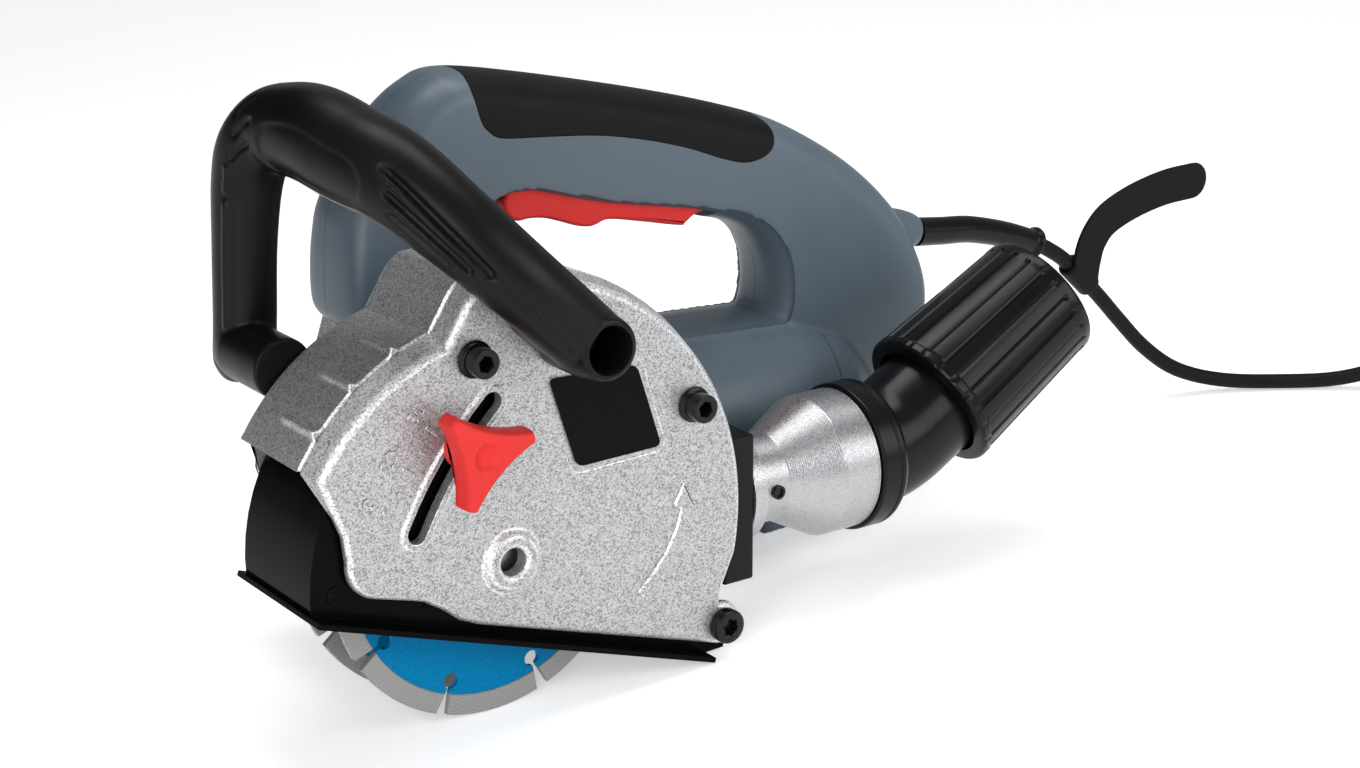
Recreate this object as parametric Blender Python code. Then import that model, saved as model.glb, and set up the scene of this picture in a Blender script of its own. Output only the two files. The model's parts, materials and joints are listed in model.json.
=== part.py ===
"""Hand-held wall chaser: twin diamond blades in a cast housing, swinging depth guard, in-line motor, D-handle.

Pieces are modelled in the machine frame: X to the rear, Y away from the cover side, Z square to the sole, with
the origin where the guard's pivot axis meets the cover's outer face. The machine then leans back so that it
stands on its blades and on the rear edge of its sole.
"""

import math

import bmesh
import bpy
import numpy as np
from mathutils import Matrix, Vector

MM = 0.001
GAP = 0.3 * MM
SIDES = 18

# Blades and spindle, whose axis runs along Y
SPINDLE_X = -103.0 * MM
SPINDLE_Z = 15.3 * MM
BLADE_RADIUS = 62.5 * MM
BLADE_THICKNESS = 2.2 * MM
BLADE_NEAR_Y = 16.0 * MM
BLADE_PITCH = 26.2 * MM
BLADE_SEGMENTS = 9
BLADE_SLOT_TURN = 11.5
BLADE_SLOT_WIDTH = 2.4 * MM
BLADE_SLOT_DEPTH = 13.0 * MM
BLADE_GULLET_RADIUS = 2.6 * MM
ARBOR_RADIUS = 10.8 * MM
THREAD_RADIUS = 7.0 * MM
FLANGE_RADIUS = 21.0 * MM
FLANGE_THICKNESS = 5.5 * MM
SPACER_RADIUS = 19.0 * MM
SPACERS = 3
NUT_RADIUS = 15.0 * MM
NUT_THICKNESS = 5.4 * MM

# Cover and blade housing castings
COVER_FRONT_CLEARANCE = 22.5 * MM
COVER_TOP_CLEARANCE = 38.0 * MM
COVER_DRAFT = 3.4 * MM
COVER_DEPTH = 10.5 * MM
COVER_WALL = 3.5 * MM
COVER_BOTTOM_Z = -8.8 * MM
COVER_TOE_Z = -3.4 * MM
HOUSING_FAR_Y = 58.0 * MM
HOUSING_WALL = 3.6 * MM
HOUSING_DRAFT = 1.2 * MM
HOUSING_RIBS = (158.4, 145.5, 133.4)
LUG_RADIUS = 8.3 * MM
BOSS_RADIUS = 10.5 * MM
BOSS_HEIGHT = 3.0 * MM
BOSS_HOLE_RADIUS = 5.0 * MM
BOLT_RADIUS = 3.0 * MM
BOLT_HEAD_RADIUS = 5.3 * MM
BOLT_HEAD_HEIGHT = 8.4 * MM
BOLT_FLANGE_RADIUS = 6.8 * MM
BOLT_FLANGE_THICKNESS = 2.0 * MM
BOLT_POST_RADIUS = 6.0 * MM
FRONT_BOLT = (-139.4 * MM, 83.8 * MM)
REAR_BOLT = (-41.7 * MM, 80.6 * MM)
PIVOT_RADIUS = 4.0 * MM
PIVOT_HEAD_RADIUS = 6.6 * MM
PIVOT_HEAD_HEIGHT = 5.0 * MM

# Swinging guard and its depth setting
SOLE_BOTTOM_Z = -14.4 * MM
SOLE_THICKNESS = 2.0 * MM
SOLE_FRONT_X = -175.7 * MM
SOLE_REAR_X = -2.2 * MM
SOLE_NEAR_Y = -4.0 * MM
SOLE_WIDTH = 60.0 * MM
GUARD_NEAR_Y = 5.0 * MM
GUARD_FAR_Y = 53.0 * MM
GUARD_SHEET = 2.0 * MM
GUARD_CLEARANCE = 13.9 * MM
GUARD_TOP_ANGLE = 26.0
GUARD_INNER_RADIUS = 126.0 * MM
GUARD_STRIP = 9.0 * MM
DEPTH_SLOT_RADIUS = 146.0 * MM
DEPTH_SLOT_LOW = 8.3
DEPTH_SLOT_HIGH = 28.7
DEPTH_SLOT_WIDTH = 7.2 * MM
DEPTH_SLOT_RIM = 2.2 * MM
DEPTH_SLOT_RIM_HEIGHT = 0.9 * MM
DEPTH_STUD_ANGLE = 21.7
DEPTH_STUD_RADIUS = 3.0 * MM
DEPTH_STUD_HEAD_RADIUS = 6.0 * MM
DEPTH_STUD_HEAD_HEIGHT = 2.6 * MM
KNOB_REACH = 20.4 * MM
KNOB_WAIST = 8.2 * MM
KNOB_LOBES = 3
KNOB_TURN = 29.0
KNOB_FOOT_HEIGHT = 5.0 * MM
KNOB_FOOT_RADIUS = 8.0 * MM
KNOB_HEIGHT = 20.0 * MM
BADGE_CORNERS = ((-107.0, 81.0), (-71.6, 91.4), (-51.3, 63.9), (-85.4, 51.8))
BADGE_THICKNESS = 0.8 * MM

# Front loop handle: centre line from the housing boss to the cover, with radii
HANDLE_BOSS = (-175.5 * MM, 60.0 * MM)
HANDLE_BOSS_RADIUS = 10.5 * MM
HANDLE_BOSS_Y = 66.0 * MM
HANDLE_LINE = (
    (-173.0, 92.0, 57.0, 11.2), (-176.4, 92.0, 70.0, 11.4), (-183.6, 92.0, 96.0, 11.6),
    (-189.0, 91.2, 118.0, 12.6),
    (-191.0, 87.8, 130.5, 13.8), (-189.8, 80.0, 139.2, 15.2), (-187.6, 68.0, 142.8, 16.8),
    (-185.6, 56.0, 142.4, 17.3),
    (-182.0, 40.0, 140.2, 17.3), (-175.0, 18.0, 136.5, 16.4), (-160.0, -2.0, 126.5, 14.6),
    (-140.0, -13.6, 115.0, 13.6),
    (-120.0, -16.6, 105.2, 13.2), (-106.0, -16.6, 98.6, 13.2),
)
HANDLE_FOOT_RADIUS = 11.5 * MM
HANDLE_FOOT_LENGTH = 16.0 * MM
HANDLE_FOOT_TURN = 157.0
HANDLE_END_DOME = 11.0 * MM
HANDLE_RECESS_RADIUS = 8.2 * MM
HANDLE_SCREW_RADIUS = 3.0 * MM
HANDLE_SCREW_HEAD_RADIUS = 6.2 * MM
HANDLE_SCREW_HEAD_HEIGHT = 5.0 * MM
HANDLE_SCREW_SEAT = 7.0 * MM

# Motor, in line with the D-handle; distances along the motor axis start at the spindle axis
MOTOR_ANGLE = 15.8
MOTOR_RADIUS = 45.0 * MM
MOTOR_CLEARANCE = 3.0 * MM
MOTOR_WALL = 3.0 * MM
MOTOR_FRONT = 48.0 * MM
MOTOR_SEAM = 131.0 * MM
MOTOR_REAR = 236.0 * MM
GEAR_CASE_RADIUS = 34.0 * MM
GEAR_CASE_BEYOND_MOTOR = 26.0 * MM
GEAR_CASE_NECK = 43.0 * MM
GEAR_RADIUS = 27.0 * MM
GEAR_TEETH = 18
PINION_TEETH = 6
PINION_FRONT = 18.0 * MM
PINION_REAR = 30.0 * MM
TOOTH_DEPTH = 1.6 * MM
BEARING_RADIUS = 17.5 * MM
BEARING_WIDTH = 10.0 * MM
SMALL_BEARING_RADIUS = 11.0 * MM
SMALL_BEARING_WIDTH = 8.0 * MM
SPINDLE_BEARING_BEYOND_HOUSING = 3.5 * MM
FAR_BEARING_BEYOND_MOTOR = 11.0 * MM
MOTOR_BEARING = 33.5 * MM
REAR_BEARING = 206.0 * MM
SHAFT_RADIUS = 6.0 * MM
SHAFT_SEAT_RADIUS = 7.5 * MM
FAN_RADIUS = 37.5 * MM
FAN_FRONT = 49.5 * MM
FAN_HEIGHT = 7.0 * MM
FAN_VANES = 8
STATOR_FRONT = 68.0 * MM
STATOR_REAR = 118.0 * MM
STATOR_BORE = 24.0 * MM
STATOR_YOKE = 36.0 * MM
STATOR_POLE_ANGLE = 50.0
ARMATURE_GAP = 0.8 * MM
ARMATURE_SLOTS = 12
COIL_SIDE_ANGLE = 24.0
COIL_RADIUS = 4.0 * MM
COIL_DEPTH = 31.6 * MM
COIL_OVERHANG = 6.3 * MM
COMMUTATOR_FRONT = 135.0 * MM
COMMUTATOR_REAR = 153.0 * MM
COMMUTATOR_RADIUS = 15.0 * MM
BRUSH_WIDTH = 6.0 * MM
BRUSH_HEIGHT = 10.0 * MM
BRUSH_WALL = 3.0 * MM
REST_FOOT_X = (84.0 * MM, 106.0 * MM)
REST_FOOT_HALF_WIDTH = 22.0 * MM
REST_FOOT_HEIGHT = 13.0 * MM
LOCK_TURN = 196.0
LOCK_RADIUS = 20.0 * MM
LOCK_PIN_RADIUS = 3.5 * MM
LOCK_CAP_RADIUS = 8.0 * MM
LOCK_CAP_HEIGHT = 7.0 * MM
LOCK_TRAVEL = 3.0 * MM

# D-handle outline in the motor's plane, in millimetres, from the nose over the grip to the rear leg and back
GRIP_OUTER = (
    (-139.0, 73.8), (-146.2, 104.0), (-146.4, 115.0), (-141.6, 135.0), (-134.4, 153.2), (-124.4, 166.4),
    (-112.0, 174.2), (-79.0, 179.2), (-22.3, 184.4), (20.0, 186.4), (48.5, 185.2), (84.0, 177.2),
    (112.5, 164.8),
    (131.8, 149.8), (143.6, 134.4), (148.4, 116.5), (146.0, 100.0), (137.0, 84.0),
)
GRIP_INNER = (
    (72.0, 66.0), (63.5, 100.0), (61.0, 118.0), (53.0, 132.0), (36.0, 140.6), (7.0, 139.8), (-37.0, 134.6),
    (-68.0, 133.4), (-82.0, 129.0), (-90.0, 119.0), (-93.0, 104.0), (-95.0, 73.8),
)
GRIP_HALF_WIDTH = 20.0 * MM
GRIP_ROUNDING = ((0.0, 0.0), (0.45, 0.06), (0.8, 0.32), (1.0, 1.0))
GRIP_ROUNDING_DEPTH = 13.0 * MM
PAD_OUTLINE = (
    (-122.0, 205.0), (-119.0, 174.0), (-106.0, 165.5), (-95.0, 154.6), (-67.0, 160.0), (-30.0, 164.6),
    (17.0, 166.0), (29.5, 172.0), (32.0, 205.0),
)
PAD_THICKNESS = 3.0 * MM
TRIGGER_TOP = ((-78.0, 141.0), (-40.0, 146.5), (12.0, 148.0))
TRIGGER_BELLY = (
    (17.0, 145.0), (16.0, 140.0), (9.0, 137.2), (-23.0, 132.4), (-31.0, 127.4), (-40.0, 126.4), (-56.0, 126.6),
    (-66.0, 124.2), (-74.0, 125.4), (-81.0, 133.0),
)
TRIGGER_HALF_WIDTH = 8.0 * MM
TRIGGER_PIVOT = (11.0 * MM, 143.5 * MM)
TRIGGER_PIN_RADIUS = 2.6 * MM
TRIGGER_PIN_REACH = 12.0 * MM
TRIGGER_TRAVEL = 3.5
SWITCH_BOX = (-62.0 * MM, -14.0 * MM, 153.0 * MM, 172.0 * MM)
SWITCH_HALF_WIDTH = 11.0 * MM

# Dust extraction: port plate, adapter, elbow and hose sleeve
PORT_BEHIND_COVER = 24.5 * MM
PORT_HEIGHT = 52.0 * MM
PORT_Y = 28.0 * MM
PORT_ANGLE = 18.5
PORT_UP = 27.0 * MM
PORT_DOWN = 31.0 * MM
PORT_HALF_WIDTH = 21.0 * MM
PORT_FACE = -17.7 * MM
PORT_PLATE_DEPTH = 14.0 * MM
PORT_BORE = 14.0 * MM
ADAPTER_FLANGE_RADIUS = 22.0 * MM
ADAPTER_FLANGE = 6.0 * MM
ADAPTER_NECK_RADIUS = 17.0 * MM
ADAPTER_CONE = (3.5 * MM, 19.0 * MM)
ADAPTER_RADIUS = 28.0 * MM
ADAPTER_END = 39.0 * MM
ADAPTER_SPIGOT_RADIUS = 24.0 * MM
ADAPTER_SPIGOT = 9.0 * MM
SET_SCREW_RADIUS = 2.8 * MM
SET_SCREW_AT = -4.0 * MM
ELBOW_ANGLE = 48.5
ELBOW_CORNER = 62.0 * MM
ELBOW_BEND = 12.0 * MM
ELBOW_COLLAR_RADIUS = 29.6 * MM
ELBOW_COLLAR_END = 54.0 * MM
ELBOW_RADIUS = 23.5 * MM
ELBOW_WALL = 3.0 * MM
SLEEVE_START = 27.0 * MM
SLEEVE_LENGTH = 70.0 * MM
SLEEVE_RADIUS = 31.0 * MM
SLEEVE_END_RADIUS = 27.5 * MM
SLEEVE_WALL = 3.0 * MM
SLEEVE_RIBS = 24
SLEEVE_RIB_DEPTH = 0.9 * MM

# Supply cord, in the frame of the floor: X and Z from the point under the pivot axis, Y from the motor's plane
CORD_RADIUS = 3.5 * MM
BUSH_POINTS = ((163.0, 116.0), (184.5, 109.4))
BUSH_RADIUS = 8.6 * MM
CORD_GUARD_RADIUS = 5.8 * MM
CORD_GUARD_LIP = 7.0 * MM
CORD_GUARD_LINE = (
    (185.4, 0.0, 109.1), (200.0, 0.0, 106.9), (216.3, 0.0, 104.6), (237.0, 0.0, 98.6), (256.2, 0.0, 91.0),
)
CORD_LINE = (
    (256.5, 0.0, 90.8), (264.0, 0.0, 86.8), (276.0, 0.0, 78.4), (295.4, 0.0, 59.8), (311.0, 0.0, 43.4),
    (327.0, -1.0, 27.0), (345.0, -5.0, 13.2), (366.0, -14.0, 5.6), (389.0, -29.0, 3.6), (413.0, -48.0, 5.0),
    (431.0, -66.0, 14.0), (442.0, -83.0, 27.0),
)
STRAP_WIDTH = 17.0 * MM
STRAP_THICKNESS = 2.0 * MM
STRAP_LINE = ((282.4, 74.6), (286.5, 86.0), (296.0, 95.6), (312.6, 101.2), (333.0, 104.4), (352.0, 104.6))
STRAP_CLIP_RADIUS = 5.6 * MM
STRAP_CLIP_LENGTH = 19.0 * MM
COIL_TURNS_A_LAYER = 2.25
COIL_START = 210.0
COIL_TAIL = 52.0 * MM
COIL_LAYERS = 4
COIL_INNER_RADIUS = 30.0 * MM
COIL_SELF_GAP = 0.6 * MM
COIL_POINTS_A_TURN = 24
TIE_WIDTH = 14.0 * MM
TIE_THICKNESS = 1.6 * MM
PLUG_LENGTH = 46.0 * MM
PLUG_RADIUS = 17.5 * MM
PLUG_NECK_RADIUS = 6.0 * MM
PLUG_PIN_RADIUS = 2.4 * MM
PLUG_PIN_LENGTH = 19.0 * MM
PLUG_PIN_SPREAD = 9.5 * MM

# Sizes that follow from those above
SPINDLE = (SPINDLE_X, SPINDLE_Z)
COVER_FRONT_RADIUS = BLADE_RADIUS + COVER_FRONT_CLEARANCE
COVER_TOP_RADIUS = BLADE_RADIUS + COVER_TOP_CLEARANCE
BLADE_FAR_Y = BLADE_NEAR_Y + BLADE_PITCH
PORT_POINT = (SPINDLE_X + COVER_TOP_RADIUS + PORT_BEHIND_COVER, PORT_HEIGHT)
MOTOR_Y = HOUSING_FAR_Y + MOTOR_CLEARANCE + MOTOR_RADIUS
GEAR_CASE_FAR_Y = MOTOR_Y + GEAR_CASE_BEYOND_MOTOR
SPINDLE_BEARING_Y = HOUSING_FAR_Y + SPINDLE_BEARING_BEYOND_HOUSING
FAR_BEARING_Y = MOTOR_Y + FAR_BEARING_BEYOND_MOTOR
GUARD_FRONT_RADIUS = BLADE_RADIUS + GUARD_CLEARANCE
SOLE_TO_SPINDLE = math.hypot(SOLE_REAR_X - SPINDLE_X, SPINDLE_Z - SOLE_BOTTOM_Z)
LEAN = math.asin(BLADE_RADIUS / SOLE_TO_SPINDLE) - math.atan2(SPINDLE_Z - SOLE_BOTTOM_Z,
                                                              SOLE_REAR_X - SPINDLE_X)
FLOOR_DROP = BLADE_RADIUS + SPINDLE_X * math.sin(LEAN) - SPINDLE_Z * math.cos(LEAN)
CORD_PITCH = 2 * CORD_RADIUS + COIL_SELF_GAP
CORD_PIECES = ("cord_bush", "cord_guard", "supply_cord", "cord_coil", "coil_tie", "plug", "cord_strap")


def clear_scene():
    for obj in list(bpy.data.objects):
        bpy.data.objects.remove(obj)


def finish_of(name, colour, roughness, metallic=0.0):
    """A material with the piece's colour."""
    material = bpy.data.materials.new(name)
    material.use_nodes = True
    shader = material.node_tree.nodes["Principled BSDF"]
    shader.inputs["Base Color"].default_value = (*colour, 1.0)
    shader.inputs["Roughness"].default_value = roughness
    shader.inputs["Metallic"].default_value = metallic
    material.diffuse_color = (*colour, 1.0)
    return material


def empty(name, parent=None, at=(0.0, 0.0, 0.0), turn=(0.0, 0.0, 0.0)):
    obj = bpy.data.objects.new(name, None)
    bpy.context.collection.objects.link(obj)
    obj.parent = parent
    obj.location = at
    obj.rotation_euler = turn
    return obj


def add(name, shape, parent, finish):
    """Turns a bmesh into a named object with its faces pointing out."""
    bmesh.ops.recalc_face_normals(shape, faces=shape.faces)
    mesh = bpy.data.meshes.new(name)
    shape.to_mesh(mesh)
    shape.free()
    mesh.shade_smooth()
    mesh.set_sharp_from_angle(angle=math.radians(35))
    mesh.materials.append(finish)
    obj = bpy.data.objects.new(name, mesh)
    bpy.context.collection.objects.link(obj)
    obj.parent = parent
    return obj


def combine(target, tool, operation):
    """Adds a Boolean to target, and keeps the tool as a hidden helper."""
    step = target.modifiers.new(tool.name, "BOOLEAN")
    step.operation = operation
    step.object = tool
    step.solver = "MANIFOLD"
    tool.hide_render = True
    tool.display_type = "WIRE"


def cut(target, shape, name, parent):
    combine(target, add(f"{target.name}_{name}_cutter", shape, parent, target.data.materials[0]), "DIFFERENCE")


def join(target, shape, name, parent):
    combine(target, add(f"{target.name}_{name}_joined", shape, parent, target.data.materials[0]), "UNION")


def arc(centre, radius, start, end, steps):
    """Points of an arc in a plane, with angles in degrees."""
    turns = np.radians(np.linspace(start, end, steps + 1))
    return [(centre[0] + radius * math.cos(t), centre[1] + radius * math.sin(t)) for t in turns]


def in_metres(points):
    return [tuple(value * MM for value in point) for point in points]


def lofted(loops, closed=False):
    """Skins closed loops of equal length, and caps both ends unless the loops close on themselves."""
    shape = bmesh.new()
    rings = [[shape.verts.new(point) for point in loop] for loop in loops]
    pairs = list(zip(rings, rings[1:]))
    if closed:
        pairs.append((rings[-1], rings[0]))
    else:
        shape.faces.new(rings[0])
        shape.faces.new(rings[-1])
    for first, second in pairs:
        for i in range(len(first)):
            j = (i + 1) % len(first)
            shape.faces.new((first[i], first[j], second[j], second[i]))
    return shape


def slab(outline, near, far):
    """An outline in X and Z, extruded along Y."""
    return lofted([[(x, y, z) for x, z in outline] for y in (near, far)])


def prism(outline, low, high):
    """An outline in X and Y, extruded along Z."""
    return lofted([[(x, y, z) for x, y in outline] for z in (low, high)])


def block(x, y, z):
    """A box from ranges along X, Y and Z."""
    return slab([(x[0], z[0]), (x[1], z[0]), (x[1], z[1]), (x[0], z[1])], y[0], y[1])


def turned(profile, sides=SIDES):
    """A profile of radius and height, turned about Z: a ring, or a solid if both its ends are on the axis."""
    shape = bmesh.new()
    loops = []
    for radius, height in profile:
        if radius == 0:
            loops.append([shape.verts.new((0, 0, height))])
            continue
        steps = [2 * math.pi * i / sides for i in range(sides)]
        loops.append([shape.verts.new((radius * math.cos(t), radius * math.sin(t), height)) for t in steps])
    pairs = list(zip(loops, loops[1:]))
    if profile[0][0] > 0:
        pairs.append((loops[-1], loops[0]))
    for first, second in pairs:
        for i in range(sides):
            j = (i + 1) % sides
            corners = [first[i % len(first)], first[j % len(first)], second[j % len(second)],
                       second[i % len(second)]]
            shape.faces.new(list(dict.fromkeys(corners)))
    return shape


def rod(radius, low, high, sides=SIDES):
    return turned([(0, low), (radius, low), (radius, high), (0, high)], sides)


def ring(outer, inner, low, high, sides=18):
    return turned([(outer, low), (outer, high), (inner, high), (inner, low)], sides)


def smooth(points, steps):
    """Points on a smooth curve through the given ones."""
    line = [np.array(point, float) for point in points]
    line = [2 * line[0] - line[1], *line, 2 * line[-1] - line[-2]]
    found = []
    for a, b, c, d in zip(line, line[1:], line[2:], line[3:]):
        for t in np.linspace(0, 1, steps, endpoint=False):
            bend = (2 * a - 5 * b + 4 * c - d) * t**2 + (3 * b - a - 3 * c + d) * t**3
            found.append(0.5 * (2 * b + (c - a) * t + bend))
    return [*found, line[-2]]


def swept(centres, radii, sides=16, closed=False):
    """A round tube along a line, with a radius at each point."""
    centres = [Vector(centre) for centre in centres]
    count = len(centres)
    loops = []
    side = None
    for i, centre in enumerate(centres):
        ahead = centres[(i + 1) % count] if closed else centres[min(i + 1, count - 1)]
        behind = centres[i - 1] if closed else centres[max(i - 1, 0)]
        along = (ahead - behind).normalized()
        side = along.orthogonal() if side is None else side - along * side.dot(along)
        side.normalize()
        up = along.cross(side)
        steps = [2 * math.pi * k / sides for k in range(sides)]
        loops.append([centre + radii[i] * (math.cos(t) * side + math.sin(t) * up) for t in steps])
    return lofted(loops, closed)


def shifted(outline, distance):
    """Moves each point of a closed outline inwards by a distance."""
    points = [Vector(point) for point in outline]
    area = sum(a.x * b.y - b.x * a.y for a, b in zip(points, points[1:] + points[:1]))
    moved = []
    for i, point in enumerate(points):
        before = (point - points[i - 1]).normalized()
        after = (points[(i + 1) % len(points)] - point).normalized()
        inward = Vector((-(before.y + after.y), before.x + after.x)).normalized() * math.copysign(1, area)
        moved.append(tuple(point + inward * distance))
    return moved


def upper_edge(grow):
    """The castings' front and top edge, two arcs about the spindle with a step between them."""
    front = arc(SPINDLE, COVER_FRONT_RADIUS + grow, 167.3, 124.2, 7)
    top = arc(SPINDLE, COVER_TOP_RADIUS + grow, 113.5, 7.0, 15)
    step = [((front[-1][0] * (1 - t) + top[0][0] * t) - 2.2 * MM * t, front[-1][1] * (1 - t) + top[0][1] * t)
            for t in (0.3, 0.72)]
    return front + step + top


def cover_outline(grow=0.0):
    """The castings' whole edge: the upper edge, the pivot lug, the straight bottom and the toe."""
    lug = arc((0.0, 0.0), LUG_RADIUS, 118, -90, 10)
    toe = [(-109.0 * MM, COVER_BOTTOM_Z - 0.4 * MM), (-117.0 * MM, COVER_BOTTOM_Z + 0.6 * MM),
           (-125.5 * MM, COVER_TOE_Z - 1.6 * MM), (-134.0 * MM, COVER_TOE_Z + 0.5 * MM)]
    heel = arc((-154.5 * MM, COVER_TOE_Z + 13.0 * MM), 13.2 * MM, 270, 190, 6)
    cheek = [(-171.8 * MM, 16.4 * MM), (-176.5 * MM, 22.0 * MM)]
    return upper_edge(grow) + [(-4.4 * MM, 14.0 * MM)] + lug + toe + heel + cheek


def curved_slot(width):
    """The depth slot's outline about the pivot."""
    outer = arc((0, 0), DEPTH_SLOT_RADIUS + width / 2, 180 - DEPTH_SLOT_LOW, 180 - DEPTH_SLOT_HIGH, 7)
    inner = arc((0, 0), DEPTH_SLOT_RADIUS - width / 2, 180 - DEPTH_SLOT_HIGH, 180 - DEPTH_SLOT_LOW, 7)
    high = polar(DEPTH_SLOT_RADIUS, DEPTH_SLOT_HIGH)
    low = polar(DEPTH_SLOT_RADIUS, DEPTH_SLOT_LOW)
    cap_high = arc(high, width / 2, 180 - DEPTH_SLOT_HIGH, -DEPTH_SLOT_HIGH, 5)[1:-1]
    cap_low = arc(low, width / 2, -DEPTH_SLOT_LOW, -180 - DEPTH_SLOT_LOW, 5)[1:-1]
    return outer + cap_high + inner + cap_low


def polar(radius, angle):
    """A point ahead of the pivot, at an angle above the sole's direction."""
    return (-radius * math.cos(math.radians(angle)), radius * math.sin(math.radians(angle)))


def across(point, shape):
    """Moves a shape made about Z so that its axis runs along Y through a point of X and Z."""
    shape.transform(Matrix.Translation((point[0], 0, point[1])) @ Matrix.Rotation(-math.pi / 2, 4, "X"))
    return shape


def hex_socket(across_flats, low, high):
    return rod(across_flats / math.sqrt(3), low, high, 6)


def make_castings(machine, port, metal):
    """The drafted cover with its slot and boss, and the blade housing behind it."""
    faces = [(0.0, 0.0), (COVER_DRAFT, COVER_DEPTH)]
    cover = add("blade_cover", lofted([[(x, y, z) for x, z in cover_outline(grow)] for grow, y in faces]),
                machine, metal)
    inside = upper_edge(COVER_DRAFT - COVER_WALL - COVER_DRAFT)
    inside += [(30.0 * MM, 12.0 * MM), (30.0 * MM, -40.0 * MM), (-200.0 * MM, -40.0 * MM),
               (-200.0 * MM, 20.0 * MM)]
    cut(cover, slab(inside, COVER_WALL, COVER_DEPTH + COVER_WALL), "inside", machine)
    rim = curved_slot(DEPTH_SLOT_WIDTH + 2 * DEPTH_SLOT_RIM)
    join(cover, slab(rim, -DEPTH_SLOT_RIM_HEIGHT, COVER_WALL / 2),
         "slot_rim", machine)
    join(cover, across(SPINDLE, rod(BOSS_RADIUS, -BOSS_HEIGHT, COVER_WALL / 2)), "boss", machine)
    cut(cover, slab(curved_slot(DEPTH_SLOT_WIDTH), -COVER_WALL, 2 * COVER_WALL), "slot", machine)
    cut(cover, across(SPINDLE, rod(BOSS_HOLE_RADIUS, -2 * BOSS_HEIGHT, 2 * COVER_WALL)), "boss_hole", machine)
    screw_hole = (HANDLE_LINE[-1][0] * MM, HANDLE_LINE[-1][2] * MM)
    holes = ((FRONT_BOLT, BOLT_RADIUS), (REAR_BOLT, BOLT_RADIUS), ((0, 0), PIVOT_RADIUS),
             (screw_hole, HANDLE_SCREW_RADIUS))
    for i, (point, radius) in enumerate(holes):
        cut(cover, across(point, rod(radius + GAP, -COVER_WALL, 2 * COVER_WALL, 16)), f"hole_{i}", machine)

    start = COVER_DEPTH + GAP
    wall_y = HOUSING_FAR_Y - HOUSING_WALL
    housing = add("blade_housing", slab(cover_outline(HOUSING_DRAFT), wall_y, HOUSING_FAR_Y), machine, metal)
    bands = []
    for grow, y in ((COVER_DRAFT, start), (HOUSING_DRAFT, wall_y + HOUSING_WALL / 2)):
        edge = upper_edge(grow) + upper_edge(grow - HOUSING_WALL)[::-1]
        bands.append([(x, y, z) for x, z in edge])
    join(housing, lofted(bands), "band", machine)
    rib_length = (HOUSING_FAR_Y - start) * 0.72
    for angle in HOUSING_RIBS:
        root = arc(SPINDLE, COVER_FRONT_RADIUS + COVER_DRAFT - 0.6 * MM, angle, angle, 1)[0]
        join(housing, across(root, rod(2.0 * MM, start, start + rib_length, 8)), f"rib_{angle:.0f}", machine)
    for name, point in (("front_post", FRONT_BOLT), ("rear_post", REAR_BOLT)):
        join(housing, across(point, rod(BOLT_POST_RADIUS, start, wall_y + HOUSING_WALL / 2, 16)), name, machine)
    join(housing, across(HANDLE_BOSS, rod(HANDLE_BOSS_RADIUS, wall_y + 0.5 * MM, HANDLE_BOSS_Y, 18)),
         "boss", machine)
    through = (wall_y - HOUSING_WALL, HOUSING_FAR_Y + HOUSING_WALL)
    cut(housing, across(SPINDLE, rod(FLANGE_RADIUS - 4 * MM, *through)),
        "spindle_hole", machine)
    for i, point in enumerate((FRONT_BOLT, REAR_BOLT)):
        cut(housing, across(point, rod(BOLT_RADIUS + GAP, 0, start + 20 * MM, 16)), f"thread_{i}", machine)
    cut(housing, across((0, 0), rod(PIVOT_RADIUS + GAP, *through, 16)),
        "pivot_hole", machine)
    thread = (HANDLE_BOSS_Y - 14 * MM, HANDLE_BOSS_Y + 5 * MM)
    cut(housing, across(HANDLE_BOSS, rod(HANDLE_SCREW_RADIUS + GAP, *thread, 16)),
        "handle_thread", machine)
    cut(housing, rod(PORT_BORE, PORT_FACE - 40 * MM, PORT_FACE), "port", port)
    return cover, housing


def make_bolts(machine, black):
    """The two cover bolts, the pivot bolt and the badge plate."""
    for name, point in (("cover_bolt_front", FRONT_BOLT), ("cover_bolt_rear", REAR_BOLT)):
        shank_end = COVER_DEPTH + 15 * MM
        profile = [(0, -BOLT_HEAD_HEIGHT), (BOLT_HEAD_RADIUS, -BOLT_HEAD_HEIGHT),
                   (BOLT_HEAD_RADIUS, -BOLT_FLANGE_THICKNESS - GAP),
                   (BOLT_FLANGE_RADIUS, -BOLT_FLANGE_THICKNESS - GAP),
                   (BOLT_FLANGE_RADIUS, -GAP), (BOLT_RADIUS, -GAP), (BOLT_RADIUS, shank_end), (0, shank_end)]
        bolt = add(name, across(point, turned(profile, 16)), machine, black)
        cut(bolt, across(point, hex_socket(5 * MM, -2 * BOLT_HEAD_HEIGHT, -BOLT_HEAD_HEIGHT + 4 * MM)),
            "socket", machine)
    profile = [(0, -PIVOT_HEAD_HEIGHT), (PIVOT_HEAD_RADIUS * 0.7, -PIVOT_HEAD_HEIGHT),
               (PIVOT_HEAD_RADIUS, -PIVOT_HEAD_HEIGHT * 0.6), (PIVOT_HEAD_RADIUS, -GAP), (PIVOT_RADIUS, -GAP),
               (PIVOT_RADIUS, HOUSING_FAR_Y), (0, HOUSING_FAR_Y)]
    bolt = add("pivot_bolt", across((0, 0), turned(profile, 16)), machine, black)
    cut(bolt, across((0, 0), hex_socket(4 * MM, -2 * PIVOT_HEAD_HEIGHT, -PIVOT_HEAD_HEIGHT + 2.5 * MM)),
        "socket", machine)
    add("badge_plate", slab(in_metres(BADGE_CORNERS), -GAP - BADGE_THICKNESS, -GAP), machine, black)


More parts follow.
